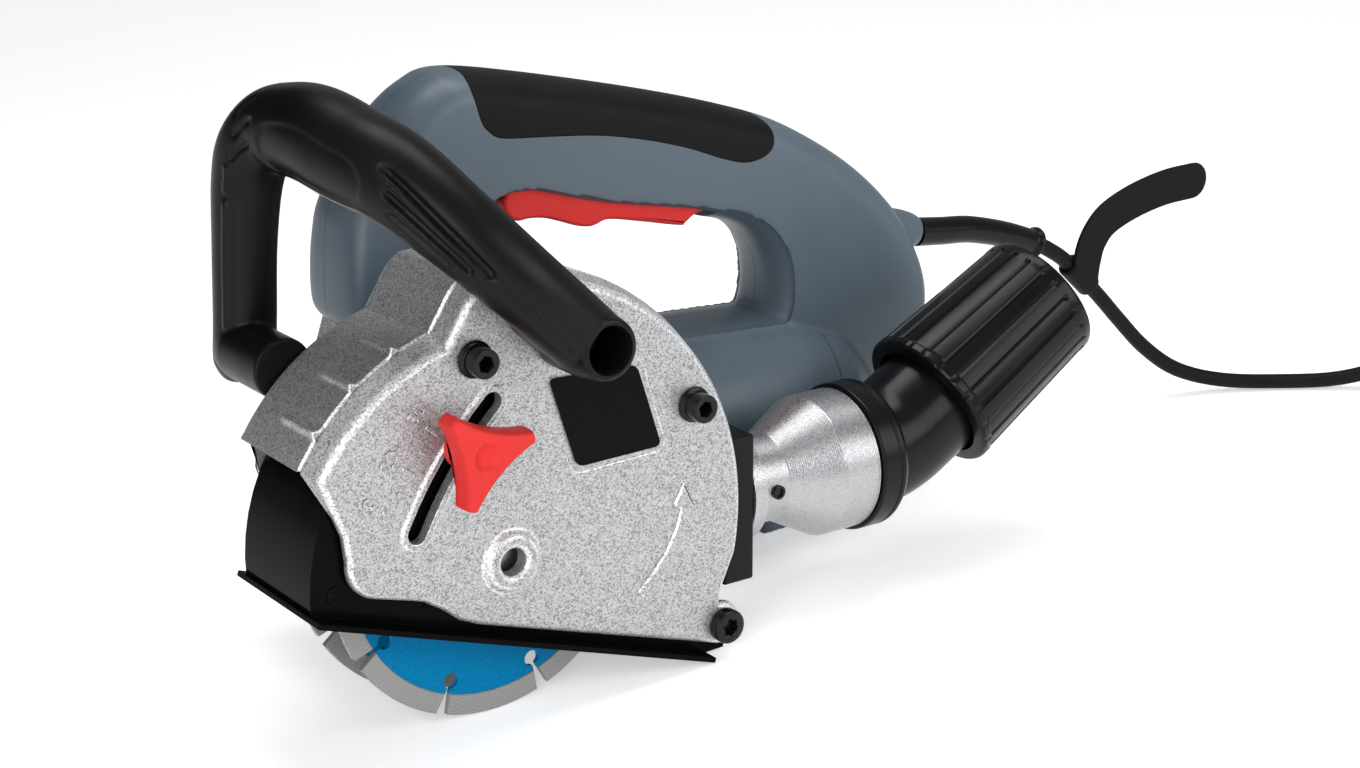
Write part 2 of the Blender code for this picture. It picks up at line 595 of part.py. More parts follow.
def make_guard(machine, steel):
    """The swinging guard: a sole with a blade opening, two cheeks with pivot lugs, and a curved front wall."""
    sole_top = SOLE_BOTTOM_Z + SOLE_THICKNESS
    front = GUARD_FRONT_RADIUS
    guard = add("guard", block((SOLE_FRONT_X, SOLE_REAR_X), (SOLE_NEAR_Y, SOLE_NEAR_Y + SOLE_WIDTH),
                               (SOLE_BOTTOM_Z, sole_top)), machine, steel)
    inner = GUARD_INNER_RADIUS
    foot = 180 - math.degrees(math.asin((SOLE_BOTTOM_Z - SPINDLE_Z) / front))
    facing = polar(1.0, GUARD_TOP_ANGLE)
    along = facing[0] * SPINDLE_X + facing[1] * SPINDLE_Z
    reach = along + math.sqrt(along**2 + front**2 - SPINDLE_X**2 - SPINDLE_Z**2)
    top = math.degrees(math.atan2(facing[1] * reach - SPINDLE_Z, facing[0] * reach - SPINDLE_X))
    foot_inner = math.degrees(math.asin((sole_top + GUARD_STRIP) / inner))
    outer_arc = arc(SPINDLE, front, foot, top, 12)
    inner_arc = arc((0, 0), inner, 180 - GUARD_TOP_ANGLE, 180 - foot_inner, 8)
    lug = arc((0, 0), LUG_RADIUS - 1 * MM, 140, 0, 8)
    cheek = outer_arc + inner_arc + lug + [(LUG_RADIUS - 1 * MM, SOLE_BOTTOM_Z + 4 * MM),
                                           (SOLE_REAR_X, SOLE_BOTTOM_Z + 0.5 * MM)]
    for name, y in (("near", GUARD_NEAR_Y), ("far", GUARD_FAR_Y - GUARD_SHEET)):
        join(guard, slab(cheek, y, y + GUARD_SHEET), f"{name}_cheek", machine)
    wall = outer_arc + arc(SPINDLE, front - GUARD_SHEET, top, foot, 12)
    join(guard, slab(wall, GUARD_NEAR_Y + GUARD_SHEET / 2, GUARD_FAR_Y - GUARD_SHEET / 2), "front_wall",
         machine)
    blade_length = math.sqrt(BLADE_RADIUS**2 - (SPINDLE_Z - sole_top) ** 2) + 12 * MM
    cut(guard, block((max(SPINDLE_X - blade_length, SPINDLE_X - front + 8 * MM), SPINDLE_X + blade_length),
                     (GUARD_NEAR_Y + 2 * GUARD_SHEET, GUARD_FAR_Y - 2 * GUARD_SHEET),
                     (SOLE_BOTTOM_Z - SOLE_THICKNESS, sole_top + SOLE_THICKNESS)), "blade_opening", machine)
    cut(guard, across((0, 0), rod(PIVOT_RADIUS + GAP, 0, HOUSING_FAR_Y, 16)), "pivot_hole", machine)
    stud = polar(DEPTH_SLOT_RADIUS, DEPTH_STUD_ANGLE)
    cut(guard, across(stud, rod(DEPTH_STUD_RADIUS + GAP, 0, GUARD_NEAR_Y + 2 * GUARD_SHEET, 16)),
        "stud_hole", machine)
    return guard


def make_depth_knob(machine, steel, red):
    """The stud through the slot, and the three-lobed clamping knob on it."""
    point = polar(DEPTH_SLOT_RADIUS, DEPTH_STUD_ANGLE)
    inside = GUARD_NEAR_Y + GUARD_SHEET + GAP
    tip = -KNOB_HEIGHT + 6 * MM
    profile = [(0, tip), (DEPTH_STUD_RADIUS, tip), (DEPTH_STUD_RADIUS, inside),
               (DEPTH_STUD_HEAD_RADIUS, inside),
               (DEPTH_STUD_HEAD_RADIUS, inside + DEPTH_STUD_HEAD_HEIGHT), (0, inside + DEPTH_STUD_HEAD_HEIGHT)]
    add("depth_stud", across(point, turned(profile, 16)), machine, steel)

    stud = empty("depth_stud_axis", machine, (point[0], 0, point[1]), (-math.pi / 2, 0, 0))
    seat = -DEPTH_SLOT_RIM_HEIGHT - GAP

    def lobes(swell, height):
        loop = []
        for i in range(36):
            turn = 2 * math.pi * i / 36
            lobe = (0.5 + 0.5 * math.cos(KNOB_LOBES * (turn - math.radians(KNOB_TURN)))) ** 1.5
            reach = KNOB_WAIST + (KNOB_REACH - KNOB_WAIST) * lobe * swell
            loop.append((reach * math.cos(turn), -reach * math.sin(turn), height))
        return loop

    levels = [(0.86, seat - KNOB_FOOT_HEIGHT), (1.0, seat - KNOB_FOOT_HEIGHT - 3 * MM),
              (1.0, -KNOB_HEIGHT + 3 * MM),
              (0.86, -KNOB_HEIGHT)]
    knob = add("depth_knob", lofted([lobes(swell, height) for swell, height in levels]), stud, red)
    join(knob, rod(KNOB_FOOT_RADIUS, seat - KNOB_FOOT_HEIGHT - 3 * MM, seat, 16), "foot", stud)
    cut(knob, rod(DEPTH_STUD_RADIUS + GAP, tip - GAP, 5 * MM, 16), "bore", stud)
    return knob


def blade_outline():
    """A blade's rim with keyhole slots between the segments."""
    outline = []
    half_slot = math.degrees(BLADE_SLOT_WIDTH / 2 / BLADE_RADIUS)
    pitch = 360 / BLADE_SEGMENTS
    gullet_depth = BLADE_RADIUS - BLADE_SLOT_DEPTH
    for i in range(BLADE_SEGMENTS):
        middle = i * pitch + BLADE_SLOT_TURN
        outline += arc((0, 0), BLADE_RADIUS, middle - pitch + half_slot, middle - half_slot, 3)
        centre = arc((0, 0), gullet_depth, middle, middle, 1)[0]
        opening = math.degrees(math.asin(BLADE_SLOT_WIDTH / 2 / BLADE_GULLET_RADIUS))
        outline += arc(centre, BLADE_GULLET_RADIUS, middle - opening, middle + opening - 360, 4)
    return outline


def make_spindle(axis, steel, blade_finish):
    """Everything that turns with the spindle, modelled about its axis with heights along Y."""
    half = BLADE_THICKNESS / 2
    for name, y in (("blade_near", BLADE_NEAR_Y), ("blade_far", BLADE_FAR_Y)):
        blade = add(name, prism(blade_outline(), y - half, y + half), axis, blade_finish)
        cut(blade, rod(ARBOR_RADIUS + GAP, y - 4 * half, y + 4 * half), "bore", axis)
    first = BLADE_NEAR_Y + half + GAP
    thickness = (BLADE_PITCH - BLADE_THICKNESS - GAP * (SPACERS + 1)) / SPACERS
    for i in range(SPACERS):
        low = first + i * (thickness + GAP)
        add(f"blade_spacer_{i + 1}", ring(SPACER_RADIUS, ARBOR_RADIUS + GAP, low, low + thickness), axis, steel)
    flange = BLADE_FAR_Y + half + GAP
    shoulder = flange + FLANGE_THICKNESS + GAP
    add("inner_flange", ring(FLANGE_RADIUS, ARBOR_RADIUS + GAP, flange, shoulder - GAP), axis, steel)
    nut = BLADE_NEAR_Y - half - GAP
    clamp = add("clamp_nut", rod(NUT_RADIUS, nut - NUT_THICKNESS, nut, 6), axis, steel)
    cut(clamp, rod(THREAD_RADIUS + GAP, 0, nut + NUT_THICKNESS), "thread", axis)
    tip = nut - NUT_THICKNESS - 2.5 * MM
    end = FAR_BEARING_Y + SMALL_BEARING_WIDTH
    seat = SPINDLE_BEARING_Y - GAP
    profile = [(0, tip), (THREAD_RADIUS, tip), (THREAD_RADIUS, nut), (ARBOR_RADIUS, nut),
               (ARBOR_RADIUS, shoulder),
               (ARBOR_RADIUS + 2.5 * MM, shoulder), (ARBOR_RADIUS + 2.5 * MM, seat), (SHAFT_SEAT_RADIUS, seat),
               (SHAFT_SEAT_RADIUS, FAR_BEARING_Y - 4 * MM), (SHAFT_RADIUS, FAR_BEARING_Y - 4 * MM),
               (SHAFT_RADIUS, end),
               (0, end)]
    add("spindle", turned(profile, 18), axis, steel)

    slope = PINION_REAR / 3 / PINION_REAR
    face = MOTOR_Y - GAP
    back = face - GEAR_RADIUS * slope - TOOTH_DEPTH - 7 * MM
    loops = [toothed(GEAR_RADIUS - 4 * MM, 0, GEAR_TEETH, back),
             toothed(GEAR_RADIUS, 0, GEAR_TEETH, back + 3 * MM),
             toothed(GEAR_RADIUS, TOOTH_DEPTH, GEAR_TEETH, face - GEAR_RADIUS * slope),
             toothed(GEAR_RADIUS * 0.66, TOOTH_DEPTH, GEAR_TEETH, face - GEAR_RADIUS * 0.66 * slope)]
    gear = add("crown_gear", lofted(loops), axis, steel)
    cut(gear, rod(SHAFT_SEAT_RADIUS + GAP, back - 5 * MM, MOTOR_Y), "bore", axis)


def toothed(radius, depth, teeth, height):
    """A loop with square teeth, four points to a tooth."""
    loop = []
    for i in range(4 * teeth):
        reach = radius - (depth if i % 4 < 2 else 0)
        turn = 2 * math.pi * (i + 0.5) / (4 * teeth)
        loop.append((reach * math.cos(turn), reach * math.sin(turn), height))
    return loop


def make_gear_case(machine, spindle_axis, motor_axis, metal, steel, black):
    """The gear case between the blade housing and the motor, its bearings and the spindle lock."""
    near = HOUSING_FAR_Y + GAP
    far = GEAR_CASE_FAR_Y
    profile = [(0, near), (GEAR_CASE_RADIUS, near), (GEAR_CASE_RADIUS, far - 12 * MM),
               (GEAR_CASE_RADIUS - 8 * MM, far), (0, far)]
    case = add("gear_case", turned(profile), spindle_axis, metal)
    neck_end = MOTOR_FRONT - GAP
    neck = [(0, 0), (GEAR_CASE_RADIUS - 2 * MM, 0), (GEAR_CASE_NECK, 30 * MM), (GEAR_CASE_NECK, neck_end),
            (0, neck_end)]
    join(case, turned(neck),
         "neck", motor_axis)
    nose = GRIP_OUTER[0][1] * MM - GAP
    pad_x = (GRIP_OUTER[0][0] * MM + 10 * MM, GRIP_INNER[-1][0] * MM - 8 * MM)
    join(case, block(pad_x, (MOTOR_Y - 14 * MM, MOTOR_Y + 14 * MM), (SPINDLE_Z + 12 * MM, nose)),
         "nose_pad", machine)
    cavity = GEAR_RADIUS + 2 * MM
    hollow = [(0, near - 5 * MM), (BEARING_RADIUS + GAP, near - 5 * MM),
              (BEARING_RADIUS + GAP, SPINDLE_BEARING_Y + BEARING_WIDTH + GAP),
              (cavity, SPINDLE_BEARING_Y + BEARING_WIDTH + 6 * MM), (cavity, MOTOR_Y + 6 * MM),
              (SMALL_BEARING_RADIUS + GAP, MOTOR_Y + 6 * MM),
              (SMALL_BEARING_RADIUS + GAP, FAR_BEARING_Y + SMALL_BEARING_WIDTH + 1 * MM),
              (0, FAR_BEARING_Y + SMALL_BEARING_WIDTH + 1 * MM)]
    cut(case, turned(hollow), "hollow", spindle_axis)
    bore = [(0, 0), (PINION_REAR / 3 + 4 * MM, 0), (PINION_REAR / 3 + 4 * MM, MOTOR_BEARING - GAP),
            (BEARING_RADIUS + GAP, MOTOR_BEARING - GAP),
            (BEARING_RADIUS + GAP, neck_end + 5 * MM), (0, neck_end + 5 * MM)]
    cut(case, turned(bore), "motor_bore", motor_axis)
    lock = arc((0, 0), LOCK_RADIUS, -LOCK_TURN, -LOCK_TURN, 1)[0]
    lock_axis = empty("spindle_lock_axis", spindle_axis, (lock[0], lock[1], 0))
    cut(case, rod(LOCK_PIN_RADIUS + GAP, MOTOR_Y, far + 5 * MM, 16), "lock_hole", lock_axis)

    for name, low, radius, width, bore_radius, axis in (
        ("spindle_bearing", SPINDLE_BEARING_Y, BEARING_RADIUS, BEARING_WIDTH, SHAFT_SEAT_RADIUS, spindle_axis),
        ("spindle_far_bearing", FAR_BEARING_Y, SMALL_BEARING_RADIUS, SMALL_BEARING_WIDTH, SHAFT_RADIUS,
         spindle_axis),
        ("motor_bearing_front", MOTOR_BEARING, BEARING_RADIUS, BEARING_WIDTH, SHAFT_SEAT_RADIUS, motor_axis),
        ("motor_bearing_rear", REAR_BEARING, SMALL_BEARING_RADIUS, SMALL_BEARING_WIDTH, SHAFT_RADIUS,
         motor_axis),
    ):
        add(name, ring(radius, bore_radius + GAP, low, low + width), axis, steel)

    cap = far + LOCK_TRAVEL + GAP
    tip = face_of_gear() + LOCK_TRAVEL + 1 * MM
    profile = [(0, tip), (LOCK_PIN_RADIUS, tip), (LOCK_PIN_RADIUS, cap), (LOCK_CAP_RADIUS, cap),
               (LOCK_CAP_RADIUS, cap + LOCK_CAP_HEIGHT - 1.5 * MM),
               (LOCK_CAP_RADIUS - 1.5 * MM, cap + LOCK_CAP_HEIGHT), (0, cap + LOCK_CAP_HEIGHT)]
    add("spindle_lock_button", turned(profile, 16), lock_axis, black)


def face_of_gear():
    """Where the crown gear's teeth end along Y at the lock pin's radius."""
    return MOTOR_Y - LOCK_RADIUS / 3


def make_motor(axis, steel, copper, slate, black):
    """The motor housing, the armature and everything around it, about the motor axis."""
    inner = MOTOR_RADIUS - MOTOR_WALL
    add("motor_housing", ring(MOTOR_RADIUS, inner, MOTOR_FRONT, MOTOR_SEAM - GAP, 32), axis, slate)

    slope = 1 / 3
    front, rear = PINION_FRONT, PINION_REAR
    loops = [toothed(front * slope - GAP, TOOTH_DEPTH * 0.7, PINION_TEETH, front),
             toothed(rear * slope - GAP, TOOTH_DEPTH, PINION_TEETH, rear)]
    pinion = add("pinion", lofted(loops), axis, steel)
    pinion_bore = front * slope * 0.55
    cut(pinion, rod(pinion_bore + GAP, front - 5 * MM, rear + 5 * MM, 16), "bore", axis)
    end = REAR_BEARING + SMALL_BEARING_WIDTH
    step = rear + GAP
    profile = [(0, front), (pinion_bore, front), (pinion_bore, step), (SHAFT_SEAT_RADIUS, step),
               (SHAFT_SEAT_RADIUS, MOTOR_BEARING + BEARING_WIDTH),
               (SHAFT_RADIUS, MOTOR_BEARING + BEARING_WIDTH), (SHAFT_RADIUS, end), (0, end)]
    add("armature_shaft", turned(profile, 24), axis, steel)

    circle = [(FAN_RADIUS * math.cos(t), FAN_RADIUS * math.sin(t)) for t in
              (2 * math.pi * (i + 0.5) / (4 * FAN_VANES) for i in range(4 * FAN_VANES))]
    vanes = toothed(FAN_RADIUS - 0.5 * MM, FAN_RADIUS - 16 * MM, FAN_VANES, FAN_FRONT + FAN_HEIGHT)
    floor = FAN_FRONT + 2 * MM
    loops = [[(x, y, FAN_FRONT) for x, y in circle], [(x, y, floor) for x, y in circle],
             [(x, y, floor) for x, y, _ in vanes], vanes]
    fan = add("cooling_fan", lofted(loops), axis, black)
    cut(fan, rod(SHAFT_RADIUS + GAP, FAN_FRONT - 5 * MM, FAN_FRONT + 2 * FAN_HEIGHT, 24), "bore", axis)
    radius = STATOR_BORE - ARMATURE_GAP
    loops = [toothed(radius, 5 * MM, ARMATURE_SLOTS, height) for height in (STATOR_FRONT, STATOR_REAR)]
    core = add("armature_core", lofted(loops), axis, steel)
    cut(core, rod(SHAFT_RADIUS + GAP, STATOR_FRONT - 5 * MM, STATOR_REAR + 5 * MM, 24), "bore", axis)
    add("commutator", ring(COMMUTATOR_RADIUS, SHAFT_RADIUS + GAP, COMMUTATOR_FRONT, COMMUTATOR_REAR), axis,
        copper)

    outer = inner - GAP
    stator = add("stator_core", rod(outer, STATOR_FRONT, STATOR_REAR, 32), axis, steel)
    bore = []
    for i in range(48):
        turn = 360 * (i + 0.5) / 48
        pole = abs((turn + 90) % 180 - 90) < STATOR_POLE_ANGLE
        bore += arc((0, 0), STATOR_BORE if pole else STATOR_YOKE, turn, turn, 1)[:1]
    cut(stator, prism(bore, STATOR_FRONT - 5 * MM, STATOR_REAR + 5 * MM), "bore", axis)
    for name, middle in (("field_coil_upper", 180), ("field_coil_lower", 0)):
        add(name, field_coil(middle), axis, copper)

    depth = (BRUSH_WIDTH, BRUSH_HEIGHT)
    centre = (COMMUTATOR_FRONT + COMMUTATOR_REAR) / 2
    for name, side in (("near", -1), ("far", 1)):
        reach = sorted((side * (COMMUTATOR_RADIUS + GAP), side * (outer - 3 * MM)))
        carbon = block((-depth[0] / 2, depth[0] / 2), reach, (centre - depth[1] / 2, centre + depth[1] / 2))
        add(f"carbon_brush_{name}", carbon, axis, black)
        reach = sorted((side * (COMMUTATOR_RADIUS + 4 * MM), side * (outer - 1.5 * MM)))
        half = (depth[0] / 2 + BRUSH_WALL, depth[1] / 2 + BRUSH_WALL)
        holder = add(f"brush_holder_{name}",
                     block((-half[0], half[0]), reach, (centre - half[1], centre + half[1])), axis, copper)
        hole = (depth[0] / 2 + GAP, depth[1] / 2 + GAP)
        past = (reach[0] - 5 * MM, reach[1] + 5 * MM)
        cut(holder, block((-hole[0], hole[0]), past, (centre - hole[1], centre + hole[1])), "bore", axis)


def field_coil(middle):
    """One field winding: a closed loop on a cylinder about the motor axis, round a pole."""
    low = STATOR_FRONT - COIL_OVERHANG
    high = STATOR_REAR + COIL_OVERHANG
    half = 90 - COIL_SIDE_ANGLE
    corners = [(-half, low + 5 * MM), (-half, high - 5 * MM), (-half + 12, high), (0, high),
               (half - 12, high), (half, high - 5 * MM),
               (half, low + 5 * MM), (half - 12, low), (0, low), (-half + 12, low)]
    path = []
    for (a, h), (b, k) in zip(corners, corners[1:] + corners[:1]):
        for t in (0.0, 0.5):
            turn = math.radians(middle + a + (b - a) * t)
            path.append((COIL_DEPTH * math.cos(turn), COIL_DEPTH * math.sin(turn), h + (k - h) * t))
    return swept(path, [COIL_RADIUS] * len(path), 6, closed=True)


def grip_outline(inset=0.0):
    """The D-handle's side outline, smoothed, moved inwards by a distance."""
    outline = [tuple(point) for point in smooth(in_metres(GRIP_OUTER), 2)]
    outline += [tuple(point) for point in smooth(in_metres(GRIP_INNER), 2)]
    return shifted(outline, inset) if inset else outline


def grip_half(side, inset=0.0):
    """One half of the rounded D-handle, from the parting plane out to one side."""
    loops = []
    for out, rounding in GRIP_ROUNDING:
        y = MOTOR_Y + side * max(out * (GRIP_HALF_WIDTH - inset), GAP / 2)
        loops.append([(x, y, z) for x, z in grip_outline(inset + rounding * GRIP_ROUNDING_DEPTH)])
    return lofted(loops)


def grip_whole(inset=0.0):
    """The whole rounded D-handle, both sides of the parting plane."""
    rows = [(-out, rounding) for out, rounding in reversed(GRIP_ROUNDING[1:])] + list(GRIP_ROUNDING)
    loops = []
    for out, rounding in rows:
        y = MOTOR_Y + out * (GRIP_HALF_WIDTH - inset)
        loops.append([(x, y, z) for x, z in grip_outline(inset + rounding * GRIP_ROUNDING_DEPTH)])
    return lofted(loops)


def across_motor(half):
    """Both ends, in Y, of something that is centred on the motor's plane."""
    return (MOTOR_Y - half, MOTOR_Y + half)


def make_handle(stand, machine, motor_axis, slate, black, red):
    """The two handle shells with the motor's rear end, the grip pad, the trigger and the switch."""
    inner = MOTOR_RADIUS - MOTOR_WALL
    barrel = [(0, MOTOR_SEAM), (MOTOR_RADIUS + 0.5 * MM, MOTOR_SEAM), (MOTOR_RADIUS, MOTOR_SEAM + 60 * MM),
              (MOTOR_RADIUS - 6 * MM, MOTOR_REAR - 18 * MM),
              (MOTOR_RADIUS - 22 * MM, MOTOR_REAR), (0, MOTOR_REAR)]
    hollow = [(0, MOTOR_SEAM - 5 * MM), (inner, MOTOR_SEAM - 5 * MM), (inner, REAR_BEARING - 16 * MM),
              (SMALL_BEARING_RADIUS + 8 * MM, REAR_BEARING - 6 * MM),
              (SMALL_BEARING_RADIUS + GAP, REAR_BEARING - GAP),
              (SMALL_BEARING_RADIUS + GAP, REAR_BEARING + SMALL_BEARING_WIDTH + GAP),
              (0, REAR_BEARING + SMALL_BEARING_WIDTH + GAP)]
    x0, x1, z0, z1 = SWITCH_BOX
    belly = in_metres(TRIGGER_BELLY)
    slot_x = (min(x for x, _ in belly) - 4 * MM, max(x for x, _ in belly) + 2 * MM)
    slot_z = (min(z for _, z in belly) - 30 * MM, z0 + GAP)
    for name, side in (("near", -1), ("far", 1)):
        shell = add(f"handle_shell_{name}", grip_half(side), machine, slate)
        half = add(f"{shell.name}_barrel_joined", turned(barrel, 28), motor_axis, slate)
        keep = sorted((MOTOR_Y + side * GAP / 2, MOTOR_Y + side * 2 * MOTOR_RADIUS))
        side_block = block((-0.3, 0.3), keep, (-0.3, 0.4))
        combine(half, add(f"{shell.name}_half_joined", side_block, machine, slate), "INTERSECT")
        combine(shell, half, "UNION")
        foot = sorted((MOTOR_Y + side * GAP / 2, MOTOR_Y + side * REST_FOOT_HALF_WIDTH))
        join(shell, block(REST_FOOT_X, foot, (0, REST_FOOT_HEIGHT)), "rest_foot", stand)
        cut(shell, turned(hollow, 28), "motor", motor_axis)
        cut(shell, block(slot_x, across_motor(TRIGGER_HALF_WIDTH + GAP), slot_z), "trigger_slot", machine)
        switch_room = block((x0 - GAP, x1 + GAP), across_motor(SWITCH_HALF_WIDTH + GAP), (z0 - GAP, z1 + GAP))
        cut(shell, switch_room, "switch", machine)
        pin_room = rod(TRIGGER_PIN_RADIUS + GAP, *across_motor(TRIGGER_PIN_REACH + GAP), 16)
        cut(shell, across(TRIGGER_PIVOT, pin_room),
            "trigger_pin", machine)
        area = slab(shifted(in_metres(PAD_OUTLINE), -GAP), *across_motor(MOTOR_RADIUS))
        recess = add(f"{shell.name}_pad_cutter", area, machine, black)
        combine(recess, add(f"{shell.name}_pad_core", grip_whole(PAD_THICKNESS + GAP), machine, black),
                "DIFFERENCE")
        combine(shell, recess, "DIFFERENCE")

    pad = add("grip_pad", grip_whole(), machine, black)
    area = slab(in_metres(PAD_OUTLINE), *across_motor(MOTOR_RADIUS))
    combine(pad, add("grip_pad_area_cutter", area, machine, black), "INTERSECT")
    combine(pad, add("grip_pad_core_cutter", grip_whole(PAD_THICKNESS), machine, black), "DIFFERENCE")

    pivot = empty("trigger_axis", machine, (TRIGGER_PIVOT[0], MOTOR_Y, TRIGGER_PIVOT[1]))
    outline = [(x - TRIGGER_PIVOT[0], z - TRIGGER_PIVOT[1]) for x, z in in_metres(TRIGGER_TOP) + belly]
    trigger = add("trigger", slab(outline, -TRIGGER_HALF_WIDTH, TRIGGER_HALF_WIDTH), pivot, red)
    join(trigger, across((0, 0), rod(TRIGGER_PIN_RADIUS, -TRIGGER_PIN_REACH, TRIGGER_PIN_REACH, 16)), "pin",
         pivot)
    add("switch", block((x0, x1), (MOTOR_Y - SWITCH_HALF_WIDTH, MOTOR_Y + SWITCH_HALF_WIDTH), (z0, z1)),
        machine, black)


def make_front_handle(machine, black, steel):
    """The loop handle, its stub on the housing boss, its foot on the cover, and the two bolts that hold it."""
    line = smooth(in_metres(HANDLE_LINE), 2)
    centres = [point[:3] for point in line]
    radii = [float(point[3]) for point in line]
    handle = add("front_handle", swept(centres, radii, 12), machine, black)
    stub = HANDLE_BOSS_Y + GAP
    far = (HANDLE_LINE[0][1] + HANDLE_LINE[0][3]) * MM
    join(handle, across(HANDLE_BOSS, rod(HANDLE_BOSS_RADIUS + 0.3 * MM, stub, far - 5 * MM, 18)), "stub",
         machine)
    last = HANDLE_LINE[-1]
    end = (last[0] * MM, last[2] * MM)
    tail = arc(end, HANDLE_FOOT_LENGTH, HANDLE_FOOT_TURN, HANDLE_FOOT_TURN, 1)[0]
    foot = arc(tail, HANDLE_FOOT_RADIUS, HANDLE_FOOT_TURN - 90, HANDLE_FOOT_TURN + 90, 8)
    foot += arc(end, HANDLE_FOOT_RADIUS, HANDLE_FOOT_TURN + 90, HANDLE_FOOT_TURN + 270, 8)
    join(handle, slab(foot, last[1] * MM, -GAP), "foot", machine)
    outer = last[1] * MM - last[3] * MM
    join(handle, across(end, rod(HANDLE_END_DOME, outer + 2 * MM, -HANDLE_SCREW_SEAT, 16)), "end", machine)
    seat = -HANDLE_SCREW_SEAT
    cut(handle, across(end, rod(HANDLE_RECESS_RADIUS, outer - 20 * MM, seat, 16)), "recess", machine)
    cut(handle, across(end, rod(HANDLE_SCREW_RADIUS + GAP, seat - 5 * MM, 5 * MM, 16)), "screw_hole", machine)
    head = seat - GAP
    profile = [(0, head - HANDLE_SCREW_HEAD_HEIGHT),
               (HANDLE_SCREW_HEAD_RADIUS, head - HANDLE_SCREW_HEAD_HEIGHT), (HANDLE_SCREW_HEAD_RADIUS, head),
               (HANDLE_SCREW_RADIUS, head), (HANDLE_SCREW_RADIUS, COVER_WALL + 4 * MM),
               (0, COVER_WALL + 4 * MM)]
    screw = add("front_handle_screw", across(end, turned(profile, 14)), machine, steel)
    cut(screw, across(end, hex_socket(4 * MM, head - 2 * HANDLE_SCREW_HEAD_HEIGHT, head - 2 * MM)),
        "socket", machine)

    seat = far - 9 * MM
    cut(handle, across(HANDLE_BOSS, rod(HANDLE_SCREW_HEAD_RADIUS + 1 * MM, seat, far + 20 * MM, 16)),
        "far_recess", machine)
    cut(handle, across(HANDLE_BOSS, rod(HANDLE_SCREW_RADIUS + GAP, stub - 5 * MM, far, 16)),
        "far_screw_hole", machine)
    head = seat + GAP
    profile = [(0, HANDLE_BOSS_Y - 12 * MM), (HANDLE_SCREW_RADIUS, HANDLE_BOSS_Y - 12 * MM),
               (HANDLE_SCREW_RADIUS, head), (HANDLE_SCREW_HEAD_RADIUS, head),
               (HANDLE_SCREW_HEAD_RADIUS, head + HANDLE_SCREW_HEAD_HEIGHT),
               (0, head + HANDLE_SCREW_HEAD_HEIGHT)]
    screw = add("front_handle_far_screw", across(HANDLE_BOSS, turned(profile, 14)), machine, steel)
    cut(screw, across(HANDLE_BOSS, hex_socket(4 * MM, head + 2 * MM, head + 3 * HANDLE_SCREW_HEAD_HEIGHT)),
        "socket", machine)


